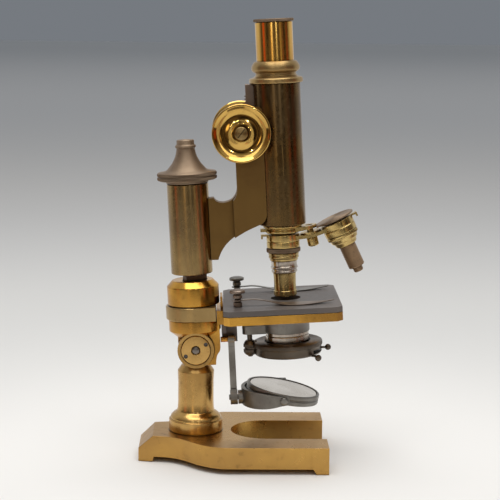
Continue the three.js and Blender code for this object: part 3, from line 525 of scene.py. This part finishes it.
def stage_slab(low, high, hole):
    bores = [moved(rod(2.1, 0, 200, SMALL), at(31, y, 0)) for y in (-26.5, 26.5)]
    slab = prism(stage_outline(20.7, 101.7, 45.8, 4), low, high)
    return slab, [moved(rod(hole, 0, 200), at(TUBE_X, 0, 0))] + bores


plate, bores = stage_slab(100.8, 106.6, 13)
piece("stage_plate", cut(joined(plate, moved(rod(4.6, 92.6, 101.5, SMALL), at(38.2, 0, 0))),
                         moved(rod(2.2, 0, 99.6, SMALL), at(38.2, 0, 0)), *bores), UPPER, GOLD, 0.3)
plate, bores = stage_slab(106.9, 110.6, 10.5)
piece("stage_top", cut(plate, *bores), UPPER, EBONITE, 0.4)

for node, y, material in (("clip_post_near", -26.5, LEAF), ("clip_post_far", 26.5, GUN)):
    piece(node, lathe([(0, 103), (1.8, 103), (1.8, 110.9), (3, 110.9), (3, 113.8), (2, 114.3), (2, 116.2),
                       (3, 116.7), (3, 118.6), (2.4, 119.4), (3.2, 120), (5.1, 120.3), (5.3, 120.8),
                       (5.3, 121.8), (4.8, 122.4), (3, 122.9), (0, 123)], 64, 0.15), UPPER @ at(31, y, 0),
          material)
leaf_top = ([(27.2, 115.6), (36, 115.7), (41, 115.9), (42.5, 115.8)]
            + bend((42.5, 115.8), (47, 115.5), (58, 112.6))
            + bend((58, 112.6), (64, 111.2), (74, 111.4)) + bend((74, 111.4), (88, 111.6), (97, 113)))
leaf_side = leaf_top + [(x, z - 0.5) for x, z in reversed(leaf_top)]
leaf_half = (bend((44, -1.8), (56, -2), (64, -4.6)) + bend((64, -4.6), (73, -7), (82, -4.6))
             + bend((82, -4.6), (92, -1.2), (97, -0.5)))
leaf_plan = (arc(31, 0, 3.8, 330, 30, 40) + [(44, 1.8)]
             + [(x, -y) for x, y in leaf_half] + list(reversed(leaf_half)) + [(44, -1.8)])
for node, s, material in (("clip_leaf_near", -1, LEAF), ("clip_leaf_far", 1, GUN)):
    blank = moved(prism(leaf_plan, 100, 130), at(0, 26.5 * s, 0) @ turn(s, "Z"))
    leaf = cut(overlap(blank, side(leaf_side, -60, 60)), moved(rod(2.3, 0, 200, SMALL), at(31, 26.5 * s, 0)))
    piece(node, leaf, UPPER, material, 0.1)

# ---- fine focus column and limb ----

piece("column_sleeve", cut(lathe([(0, 131.7), (14.1, 131.7), (14.5, 132.2), (14.5, 194.4), (14.1, 194.8),
                                  (0, 194.8)]),
                           prism(bar_outline(0.3), 0, 173), rod(12.7, 172, 190), rod(2.9, 0, 300, SMALL)),
      UPPER, SLEEVE_BRASS, 0.15)
kept("focus_spring", STEEL)
kept("micrometer_screw", STEEL)
piece("micrometer_head", lathe([(0, 206), (2.9, 206), (2.9, 195.3), (14.7, 195.3), (14.8, 196.8),
                                (19.6, 197.2), (20.8, 198), (20.8, 199.5), (20.1, 200.1), (20.8, 200.7),
                                (20.8, 202.1), (20.1, 202.9), (15.2, 203.7), (13.6, 204.7), (11.9, 206.7),
                                (10.1, 208.8), (8.8, 211.1), (7.6, 213.6), (6.9, 216), (6.4, 218.6),
                                (6.5, 219.4), (7.2, 219.8), (7.2, 221.1), (6.4, 221.7), (6.1, 222.6),
                                (6.1, 224.6), (5.6, 225.1), (0, 225.1)],
                               360, 0.3, [(197.9, 199.6, 0.3), (200.6, 202.3, 0.3)]), UPPER, PATINA)


def limb_under(start):
    first = ([(start, 156.2)] if start > 30
             else [(13, 140.6), (19, 140.6)] + bend((19, 140.6), (22, 150.3), (30.6, 155.9)))
    last = first[-1]
    return first + bend(last, (38.5, 160.9), (49, 164.7)) + bend((49, 164.7), (54, 166.6), (54.2, 173.5))


web = side([(13, 184)] + limb_under(13) + [(54.2, 195), (34.2, 195), (34.2, 189)]
           + bend((34.2, 189), (33, 181.2), (24.6, 180.4))
           + bend((24.6, 180.4), (19.6, 180.2), (17.8, 184)), -5, 5)
block = side([(31.2, 182.2)] + limb_under(31.2)
             + [(54.2, 244), (52.2, 246), (36.2, 246), (34.2, 244), (34.2, 189)]
             + bend((34.2, 189), (33.9, 184.8), (31.2, 182.2), 8), -13, 13)
piece("limb", cut(joined(block, web), rod(14.8, 0, 400), moved(rod(16.9, 0, 400), at(TUBE_X, 0, 0)),
                  prism([(42.8, -6.8), (48.4, -5.2), (60, -5.2), (60, 5.2), (48.4, 5.2), (42.8, 6.8)], 0,
                        400),
                  box((41.6, 43.5), (-2.9, 2.9), (0, 400)),
                  moved(rod(5.1, -2.9, 2.9, SMALL), at(38.8, 0, 229.1) @ ACROSS),
                  moved(rod(2.5, -60, 60, SMALL), at(38.8, 0, 229.1) @ ACROSS)), UPPER, BROWN, 0.4)

# ---- coarse focus, body tube and eyepiece ----

bar = prism([(43.2, -6.4), (47.8, -5), (49.7, -4.9), (49.7, 4.9), (47.8, 5), (43.2, 6.4)], 168.5, 261.2)
piece("slide_bar", cut(bar, box((40, 45.3), (-2.9, 2.9), (171.7, 400))), UPPER, LEAF, 0.2)
kept("rack", LEAF, 0.1)
kept("pinion_shaft", STEEL)
piece("body_tube", lathe([(15.3, 165), (9.5, 165), (9.5, 163.6), (15.9, 163), (16.6, 163.6), (16.6, 261),
                          (15.3, 261)]),
      TUBE, TUBE_BRASS)
piece("tube_collar", lathe([(13.2, 246), (15, 246), (15, 261.3), (18.2, 261.3), (18.6, 261.9), (18.6, 264.1),
                            (18, 264.9), (16.2, 265.4), (14.6, 266.2), (13.9, 267.4), (14.2, 268.5),
                            (15.6, 269.2), (16.5, 270.1), (16.8, 271.5), (16.6, 273), (15.9, 274.4),
                            (14.9, 275.8), (14.2, 276.3), (13.2, 276.3)], ease=0.35), TUBE, SATIN)
piece("draw_tube", lathe([(12.1, 205), (12.9, 205), (12.9, 302.8), (12.1, 302.8)]), TUBE, DRAWN)
piece("eyepiece", lathe([(10.8, 262), (11.8, 262), (11.8, 303.1), (13.5, 303.1), (13.9, 303.5), (13.9, 304.8),
                         (13.4, 305.2), (11.4, 305.2), (6.2, 303.4), (4.2, 302.9), (4.2, 301.9), (8.8, 301.4),
                         (10.8, 299)], 240, 0.2, [(303.2, 305.1, 0.15)]), TUBE, PATINA)
for node in ("eye_lens", "field_lens", "high_objective_lens", "condenser_lens"):
    kept(node, LENS)
knob_profile = [(2.5, 19), (7, 19), (7, 20.6), (16.8, 21.2), (19.6, 22.4), (20.1, 23), (20.1, 26.4),
                (19.7, 27), (18.9, 27.1), (18.5, 26.8), (17.4, 25.6), (16, 24.5), (14.6, 23.8),
                (13.2, 23.45), (12, 23.4), (10.7, 23.55), (9.2, 23.85), (7.8, 24.2), (6.4, 24.5), (5, 24.6),
                (2.5, 24.6)]
for node, s in (("knob_near", -1), ("knob_far", 1)):
    knob = lathe(knob_profile, 300, 0.3, [(22.9, 26.5, 0.28)])
    piece(node, moved(knob, Matrix.Scale(s, 4, (0, 0, 1))), PINION, MIRRORED)
for node, s in (("knob_screw_near", -1), ("knob_screw_far", 1)):
    head = lathe([(0, 22.4), (2.2, 22.4), (2.2, 24.7), (4.5, 24.7), (4.5, 25.5), (4.1, 25.9), (3.5, 25.9),
                  (3.3, 25.7), (3.1, 25.9), (0, 25.9)], 64, 0.1)
    slot = moved(box((-0.4, 0.4), (-4, 4), (25, 30)), turn(40, "Z"))
    screw = moved(cut(head, slot), Matrix.Scale(s, 4, (0, 0, 1)))
    piece(node, screw, PINION, SATIN, 0.06)

# ---- nosepiece and objectives ----

collar = lathe([(8.6, 157.2), (11.4, 157.2), (11.9, 157.8), (11.9, 159), (11.4, 159.6), (11.3, 160.4),
                (12.6, 161), (13.6, 161.5), (13.6, 162.6), (8.6, 162.6)])
wing = side([(0, 157.5), (9, 157.8), (19, 159.2), (23.6, 160.4), (23.8, 162.3), (19, 161.6), (12, 161.1),
             (0, 160.9)],
            -8, 8)
wing_plan = prism([(11.2 + 12.6 * math.cos(a), 8 * math.sin(a))
                   for a in [math.radians(6 * i) for i in range(60)]],
                  100, 170)
pad = moved(rod(5.2, -98.6, -96.4, 64), at(0, 0, APEX_Z) @ turn(-MIDDLE, "Y"))
pivot_bore = moved(rod(2.6, -REACH, 0, SMALL), at(0, 0, APEX_Z) @ turn(-MIDDLE, "Y"))
catch = box((-15.6, -8.8), (-3, 3), (158.2, 160.4))
piece("nose_plate", cut(joined(collar, overlap(wing, wing_plan), pad, catch), rod(8.6, 0, 300), pivot_bore),
      TUBE, PALE, 0.15)
wedge = moved(prism([(-14.5, -5.2), (-14.5, 5.2), (-3, 12.4), (-3, -12.4)], -98.2, -96.9),
              at(0, 0, APEX_Z) @ turn(-SPREAD, "Y"))
guard = moved(lathe([(0, -98.3), (13.2, -98.3), (13.5, -98), (13.5, -97.4), (13, -96.9), (0, -96.8)]),
              at(0, 0, APEX_Z) @ turn(-SPREAD, "Y"))
piece("dust_guard", cut(joined(guard, wedge), box((-64, 23.4), (-60, 60), (0, 300))), TUBE, PATINA, 0.1)
screw = lathe([(0, -111.4), (2.8, -111.4), (3.9, -110.6), (3.9, -105.4), (2.8, -104.9), (2.3, -104.9),
               (2.3, -96.9), (0, -96.9)], SMALL, 0.2)
piece("nose_pivot_screw", cut(screw, box((-6, 6), (-0.4, 0.4), (-112, -110.6))), nose(MIDDLE), PALE, 0.1)


def along(degrees, radius):
    return radius * math.sin(math.radians(degrees)), -radius * math.cos(math.radians(degrees))


wall = [(0, -109.2), (11.2, -109.2), (11.6, -108.7), (11.6, -104.9), (11.2, -104.5), (11.6, -104.1),
        (11.6, -100), (11.3, -99.7), (0, -99.7)]
sockets = [moved(lathe(wall), turn(-a, "Y")) for a in (0, SPREAD)]
hub = moved(rod(7.4, -104.3, -100.6, 64), turn(-MIDDLE, "Y"))
arm = side([along(0, 101), along(MIDDLE, 102.6), along(SPREAD, 101), along(SPREAD, 104.4),
            along(MIDDLE, 104.6), along(0, 104.4)], -7.5, 7.5)
lugs = []
for angle, s in ((0, 1), (SPREAD, -1)):
    lug = cut(box((-15.4, -9), (-2.4, 2.4), (-102.7, -99.7)), box((-14.1, -10.9), (-9, 9), (-104.7, -101)))
    lugs.append(moved(lug, turn(-angle, "Y") @ Matrix.Scale(s, 4, (1, 0, 0))))
bores = [moved(rod(9, -REACH, 0), turn(-a, "Y")) for a in (0, SPREAD)]
piece("revolver", cut(joined(sockets[0], sockets[1], hub, arm, *lugs), *bores,
                      moved(rod(2.6, -REACH, 0, SMALL), turn(-MIDDLE, "Y"))), nose(0), PALE, 0.15)
optic = piece("high_objective",
              lathe([(7.2, -101.6), (8.7, -101.6), (8.7, -112.6), (10.7, -112.7), (10.7, -114.2),
                     (10.3, -114.6), (10.6, -115), (10.6, -116.2), (10, -116.8), (9.9, -118),
                     (9.3, -118.6), (9, -120.4), (9, -122), (9.5, -122.5), (9.5, -123.6), (8.8, -124.2),
                     (8.8, -125.2), (9.1, -125.6), (9.1, -126.4), (8.2, -127), (7.9, -128.6), (7.7, -135),
                     (7.8, -139.4), (8.2, -139.8), (8.2, -142.8), (7.7, -143.4), (3.4, -143.4), (3.4, -142),
                     (7, -140), (7, -120)], ease=0.15), nose(0), OPTIC)
optic.data.materials.append(NICKEL)
for face in optic.data.polygons:
    if -126.4 < face.center.z / MM < -118.6:
        face.material_index = 1
piece("high_objective_ring", lathe([(9, -112.3), (11.6, -112.3), (11.9, -112), (11.9, -109.8), (11.6, -109.5),
                                    (9, -109.5)], 200, 0.1, [(-112.1, -109.7, 0.25)]), nose(0), PATINA)
piece("low_objective_mount", lathe([(6.2, -101.6), (8.7, -101.6), (8.7, -109.5), (11.2, -109.5), (11.3, -110),
                                    (11.3, -111.4), (11, -111.8), (10.2, -112.3), (9.9, -113.4),
                                    (9.6, -114.4), (8.6, -115.2), (8, -116.4), (7.8, -117.2), (7, -118.2),
                                    (6.2, -118.2)], 160, 0.15,
                                   [(-111.5, -109.9, 0.2)]), nose(SPREAD), PALE)
piece("low_objective", lathe([(4.6, -108), (5.8, -108), (5.8, -119.6), (5.6, -119.9), (5.8, -120.2),
                              (5.8, -134.6), (5.2, -135.3), (3.5, -135.6), (3.4, -138.3), (2.9, -139),
                              (1.8, -139), (1.8, -137.8), (4.6, -134)], 96, 0.15), nose(SPREAD), COPPER)

# ---- condenser and iris ----

sleeve = lathe([(15.6, 87.2), (15.8, 87.2), (16, 87.5), (16, 95.6), (16.4, 96.4), (17.6, 97.2), (17.6, 100),
                (17.2, 100.4), (15.6, 100.4)])
web = cut(box((36.2 - TUBE_X, 52 - TUBE_X), (-5, 5), (86.2, 92.2)), rod(15.8, 0, 200))
eye = moved(rod(5, 86.2, 92.2, 64), at(38.2 - TUBE_X, 0, 0))
piece("condenser_carrier",
      cut(joined(sleeve, web, eye), moved(rod(2.2, 0, 200, SMALL), at(38.2 - TUBE_X, 0, 0))), TUBE, GUN, 0.15)
piece("condenser_barrel",
      lathe([(13.6, 80.8), (15, 80.8), (15.3, 81.2), (15.3, 84.4), (15, 84.8), (15.3, 85.2),
             (15.3, 98.6), (14.4, 99.4), (9.6, 99.4), (9.6, 98), (13.6, 97)]), TUBE,
      NICKEL)
case = lathe([(15.4, 78.6), (16.4, 80.4), (23.2, 80.4), (24.3, 79.9), (24.6, 79.2), (24.6, 77.2),
              (24.2, 76.7), (23.9, 76), (23.9, 72.2), (23.4, 71.4), (22.4, 70.8), (14.6, 70.8),
              (14.6, 72.2), (20.4, 72.2), (20.4, 78.6)], 240, 0.2, [(77.1, 79.3, 0.2)])
sector = prism([(0, 0)] + [(30 * math.cos(math.radians(a)), 30 * math.sin(math.radians(a)))
                           for a in range(-44, 45, 4)],
               72.4, 75)
post_x = 38.2 - TUBE_X
bite = cut(moved(rod(5.2, 0, 200, 64), at(post_x, 0, 0)), box((post_x, 200), (-9, 9), (75.4, 76.6)))
ear = joined(moved(rod(4, 75.5, 76.5, 64), at(post_x, 0, 0)), box((post_x, -20.3), (-4, 4), (75.5, 76.5)))
fixed_ball = moved(lathe([(2.3 * math.sin(math.radians(12 * i)), -2.3 * math.cos(math.radians(12 * i)))
                          if i % 15 else (0, -2.3 if i == 0 else 2.3) for i in range(16)], SMALL, 0),
                   at(20.2, -19.6, 70.4))
stem = moved(rod(0.8, -4, 4, 24), at(17, -16.5, 71.3) @ turn(-44, "Z") @ ALONG)
piece("iris_ring", cut(joined(cut(case, bite, sector), ear, stem, fixed_ball),
                       moved(rod(2.2, 0, 200, SMALL), at(post_x, 0, 0))), TUBE, BRONZE, 0.1)
ball = moved(lathe([(2.2 * math.sin(math.radians(12 * i)), -2.2 * math.cos(math.radians(12 * i)))
                    if i % 15 else (0, -2.2 if i == 0 else 2.2) for i in range(16)], SMALL, 0),
             at(28.4, 0, 73.7))
lever = moved(rod(0.8, -4.75, 4.75, 24), at(23.4, 0, 73.7) @ ALONG)
piece("iris_lever", joined(lathe([(12, 72.8), (20, 72.8), (20, 74.6), (12, 74.6)]), lever, ball), TUBE,
      BRONZE)
piece("substage_post", lathe([(0, 69.8), (1.5, 69.8), (1.8, 70.1), (1.8, 71), (3, 71), (4, 71.9), (4.7, 73.2),
                              (4.7, 75.2), (1.8, 75.2), (1.8, 99), (0, 99)], 72, 0.15, [(73.1, 75.1, 0.2)]),
      POST, BRONZE)
piece("post_nut", lathe([(2.1, 76.8), (4.7, 76.8), (4.7, 78.6), (4, 80.1), (3, 81.4), (2.1, 81.4)], 72, 0.15,
                        [(76.9, 78.7, 0.2)]), POST, BRONZE)

# ---- mirror ----

kept("mirror_bracket", EBONITE, 0.3)
piece("mirror_rod", lathe([(0, 17.7), (1.95, 17.7), (1.95, 27.7), (1.4, 28.2), (0, 28.2)], SMALL, 0.2),
      UPPER @ at(0, -3.4, 83.6) @ ALONG, GOLD)
bar = side([(22.8, 46), (22.8, 80), (27.4, 80), (27.4, 46)], -5.6, -1.2)
eyes = [moved(rod(r, 22.8 - e, 27.4 + e, 64), at(0, -3.4, z) @ ALONG)
        for r, z, e in ((3.3, 83.6, 0), (5.2, 41.6, 0.3))]
flare = side([(22.8, 41.6), (22.8, 48), (27.4, 48), (27.4, 41.6)], -6.9, 0.1)
holes = [moved(rod(2.15, 0, 60, SMALL), at(0, -3.4, z) @ ALONG) for z in (83.6, 41.6)]
neck = side([(22.8, 79), (22.8, 83), (27.4, 83), (27.4, 79)], -6.1, -0.7)
piece("mirror_arm", cut(joined(bar, neck, flare, *eyes), *holes), UPPER, GUN, 0.3)
mx, mz = 59.7, 43.1
fork_side = ([(mx + 3.6, mz + 3)] + bend((mx + 3.6, mz + 3), (mx + 4.4, mz), (mx + 3.6, mz - 3))
             + [(mx - 2, mz - 3.6)]
             + bend((mx - 2, mz - 3.6), (mx - 13, mz - 6.7), (mx - 25, mz - 6.6))
             + [(mx - 31, mz - 6.6), (mx - 31, mz + 5.4), (mx - 27, mz + 5.4)]
             + bend((mx - 27, mz + 5.4), (mx - 14, mz + 5.4), (mx - 4, mz + 3.4)))
hoop = overlap(moved(lathe([(26.8, 20), (29.3, 20), (29.3, 70), (26.8, 70)], 160, 0), at(mx, 0, 0)),
               side(fork_side, -60, 60))
stub = moved(lathe([(0, 21.6), (1.9, 21.6), (1.9, 28), (4.9, 28), (4.9, mx - 27.6), (0, mx - 27.6)], SMALL,
                   0.2),
             at(0, -3.4, 41.6) @ ALONG)
stub = cut(stub, moved(rod(26.8, 0, 200), at(mx, 0, 0)))
piece("mirror_fork", cut(joined(hoop, stub), moved(rod(1.5, -60, 60, SMALL), at(mx, 0, mz) @ ACROSS)),
      UPPER, GUN, 0.25)
for node, s in (("mirror_pin_near", -1), ("mirror_pin_far", 1)):
    pin = lathe([(0, 24.3), (1.2, 24.3), (1.2, 29.6), (2.6, 29.6), (2.6, 30.2), (2, 30.7), (0, 30.8)],
                SMALL, 0.15)
    piece(node, moved(pin, Matrix.Scale(s, 4, (0, 0, 1))), UPPER @ at(mx, 0, mz) @ ACROSS, GUN)
MIRROR = UPPER @ at(mx, 0, mz) @ turn(13.6, "Y")
cell = lathe([(22, -1), (24.4, -1), (24.4, -3.5), (25.5, -3.5), (26, -3), (26, -0.7), (25.5, -0.3),
              (25.5, 0.3), (26, 0.7), (26, 3), (25.5, 3.5), (24.4, 3.5), (24.4, 1), (22, 1)], ease=0.2)
piece("mirror_cell", cut(cell, moved(rod(1.5, -60, 60, SMALL), ACROSS)), MIRROR, GUN, 0.1)
piece("mirror_plane", lathe([(0, 1.3), (24.1, 1.3), (24.1, 2.8), (23.6, 3.1), (0, 3.1)], ease=0.1), MIRROR,
      SILVER)
dish = [(24.1 * i / 12, -3.1 + 1.2 * (1 - (i / 12) ** 2)) for i in range(13)]
piece("mirror_concave", lathe(dish + [(24.1, -1.3), (0, -1.3)], ease=0.05), MIRROR, SILVER)

# ---- floor, light and camera ----

bpy.context.scene.view_settings.view_transform = "Standard"


def paper(name, half, low, painted_falloff):
    """A square sheet of paper whose colour is painted lighter near the microscope and greyer further off, a
    painted pool of light. Each step of the falloff is (metres from the microscope, colour).
    """
    sheet = bpy.data.objects.new(name,
                                 prism([(-half, -half), (half, -half), (half, half), (-half, half)], -20,
                                       low))
    bpy.context.scene.collection.objects.link(sheet)
    n = Nodes(name)
    reach = n.tree.nodes.new("ShaderNodeVectorMath")
    reach.operation = "LENGTH"
    n.link(n.place, reach.inputs[0])
    tone_and_shade = painted_falloff[0][1]
    for (near, _), (far, colour) in zip(painted_falloff, painted_falloff[1:]):
        step = n.ramp(n.math("LOGARITHM", reach.outputs["Value"], 10), math.log10(near), math.log10(far))
        tone_and_shade = n.mix(step, tone_and_shade, colour)
    n.link(tone_and_shade, n.shader.inputs["Base Color"])
    n.shader.inputs["Roughness"].default_value = 0.9
    n.shader.inputs["Specular IOR Level"].default_value = 0.1
    sheet.data.materials.append(n.material)
    return sheet


# The floor's colour is painted pale around the microscope and greyer with distance: a painted pool of light.
paper("floor", 40000, -0.1,
      [(0.15, (0.83, 0.82, 0.80)), (0.6, (0.68, 0.68, 0.67)), (1.6, (0.61, 0.615, 0.62)),
                             (5, (0.54, 0.565, 0.60)), (25, (0.34, 0.37, 0.41))]).visible_glossy = False
# A second sheet seen only in reflections. Its colour is likewise painted lighter near the microscope, so the
# metal reflects painted light.
near_paper = paper("near_paper", 780, -0.05, [(0.15, (0.80, 0.79, 0.77)), (0.9, (0.68, 0.67, 0.65))])
near_paper.visible_camera = False
near_paper.visible_diffuse = False
near_paper.visible_shadow = False

world = bpy.data.worlds.new("studio")
bpy.context.scene.world = world
world.use_nodes = True
tree = world.node_tree


def world_node(kind, **settings):
    node = tree.nodes.new("ShaderNode" + kind)
    for name, value in settings.items():
        setattr(node, name, value)
    return node


def world_ramp(source, low, high):
    node = world_node("MapRange", interpolation_type="SMOOTHSTEP")
    node.inputs["From Min"].default_value = low
    node.inputs["From Max"].default_value = high
    tree.links.new(source, node.inputs["Value"])
    return node.outputs["Result"]


def world_mix(factor, first, second):
    node = world_node("Mix", data_type="RGBA")
    for socket, value in zip([s for s in node.inputs if s.type == "RGBA"], (first, second)):
        if isinstance(value, tuple):
            socket.default_value = (*value, 1)
        else:
            tree.links.new(value, socket)
    tree.links.new(factor, node.inputs["Factor"])
    return [s for s in node.outputs if s.type == "RGBA"][0]


place = world_node("TexCoord").outputs["Generated"]
parts = world_node("SeparateXYZ")
tree.links.new(place, parts.inputs[0])
squeeze = world_node("Mapping")
squeeze.inputs["Scale"].default_value = (1, 1, 0.25)
tree.links.new(place, squeeze.inputs["Vector"])
shapes = world_node("TexNoise")
shapes.inputs["Scale"].default_value = 5
shapes.inputs["Detail"].default_value = 3
tree.links.new(squeeze.outputs["Vector"], shapes.inputs["Vector"])
room = world_mix(world_ramp(shapes.outputs["Fac"], 0.42, 0.62), (0.020, 0.014, 0.010), (0.16, 0.115, 0.08))
room = world_mix(world_ramp(parts.outputs["Z"], 0.25, 0.8), room, (0.50, 0.49, 0.47))
for colour, direction, size in (((2.0, 1.5, 0.85), (-0.31, -0.95, 0.07), 0.11),
                                ((0.9, 0.7, 0.4), (0.60, -0.80, 0.07), 0.10),
                                ((0.85, 0.13, 0.02), (0.77, -0.62, -0.12), 0.13),
                                ((0.75, 0.10, 0.015), (-0.93, -0.36, 0.02), 0.16),
                                ((0.30, 0.055, 0.02), (0.98, -0.15, -0.03), 0.22)):
    gap = world_node("VectorMath", operation="DISTANCE")
    tree.links.new(place, gap.inputs[0])
    gap.inputs[1].default_value = direction
    room = world_mix(world_ramp(gap.outputs["Value"], size, 0.5 * size), room, colour)
studio = world_mix(world_ramp(parts.outputs["Y"], -0.1, 0.45), room, (0.62, 0.62, 0.62))
seen = world_node("LightPath").outputs["Is Camera Ray"]
tree.links.new(world_mix(seen, studio, (0.18, 0.195, 0.215)), tree.nodes["Background"].inputs["Color"])


def lamp(name, spot, target, width, height, power, colour=(1, 1, 1)):
    light = bpy.data.lights.new(name, "AREA")
    light.shape = "RECTANGLE"
    light.size = width
    light.size_y = height
    light.energy = power
    light.color = colour
    holder = bpy.data.objects.new(name, light)
    bpy.context.scene.collection.objects.link(holder)
    holder.location = spot
    holder.rotation_euler = (Vector(target) - Vector(spot)).to_track_quat("-Z", "Y").to_euler()
    holder.visible_camera = False


lamp("top_softbox", (0.0, -0.15, 1.7), (0, 0, 0), 1.6, 1.6, 24)
for side_x in (-0.30, 0.24):
    lamp("glint", (side_x, -1.15, 0.62), (0, 0, 0.2), 0.03, 0.03, 0.5)

camera = bpy.data.objects.new("camera", bpy.data.cameras.new("camera"))
bpy.context.scene.collection.objects.link(camera)
camera.data.lens = 107.7
camera.data.sensor_width = 36
camera.data.clip_end = 200
pitch, yaw, roll = 0.145, 0.020, 0.010
ahead = Vector((math.sin(yaw) * math.cos(pitch), math.cos(yaw) * math.cos(pitch), -math.sin(pitch)))
right = Vector((math.cos(yaw), -math.sin(yaw), 0))
above = right.cross(ahead)
across = right * math.cos(roll) + above * math.sin(roll)
upright = above * math.cos(roll) - right * math.sin(roll)
turned = Matrix((across, upright, -ahead)).transposed().to_4x4()
camera.matrix_world = Matrix.Translation((-0.0222, -1.03746, 0.29945)) @ turned
bpy.context.scene.camera = camera
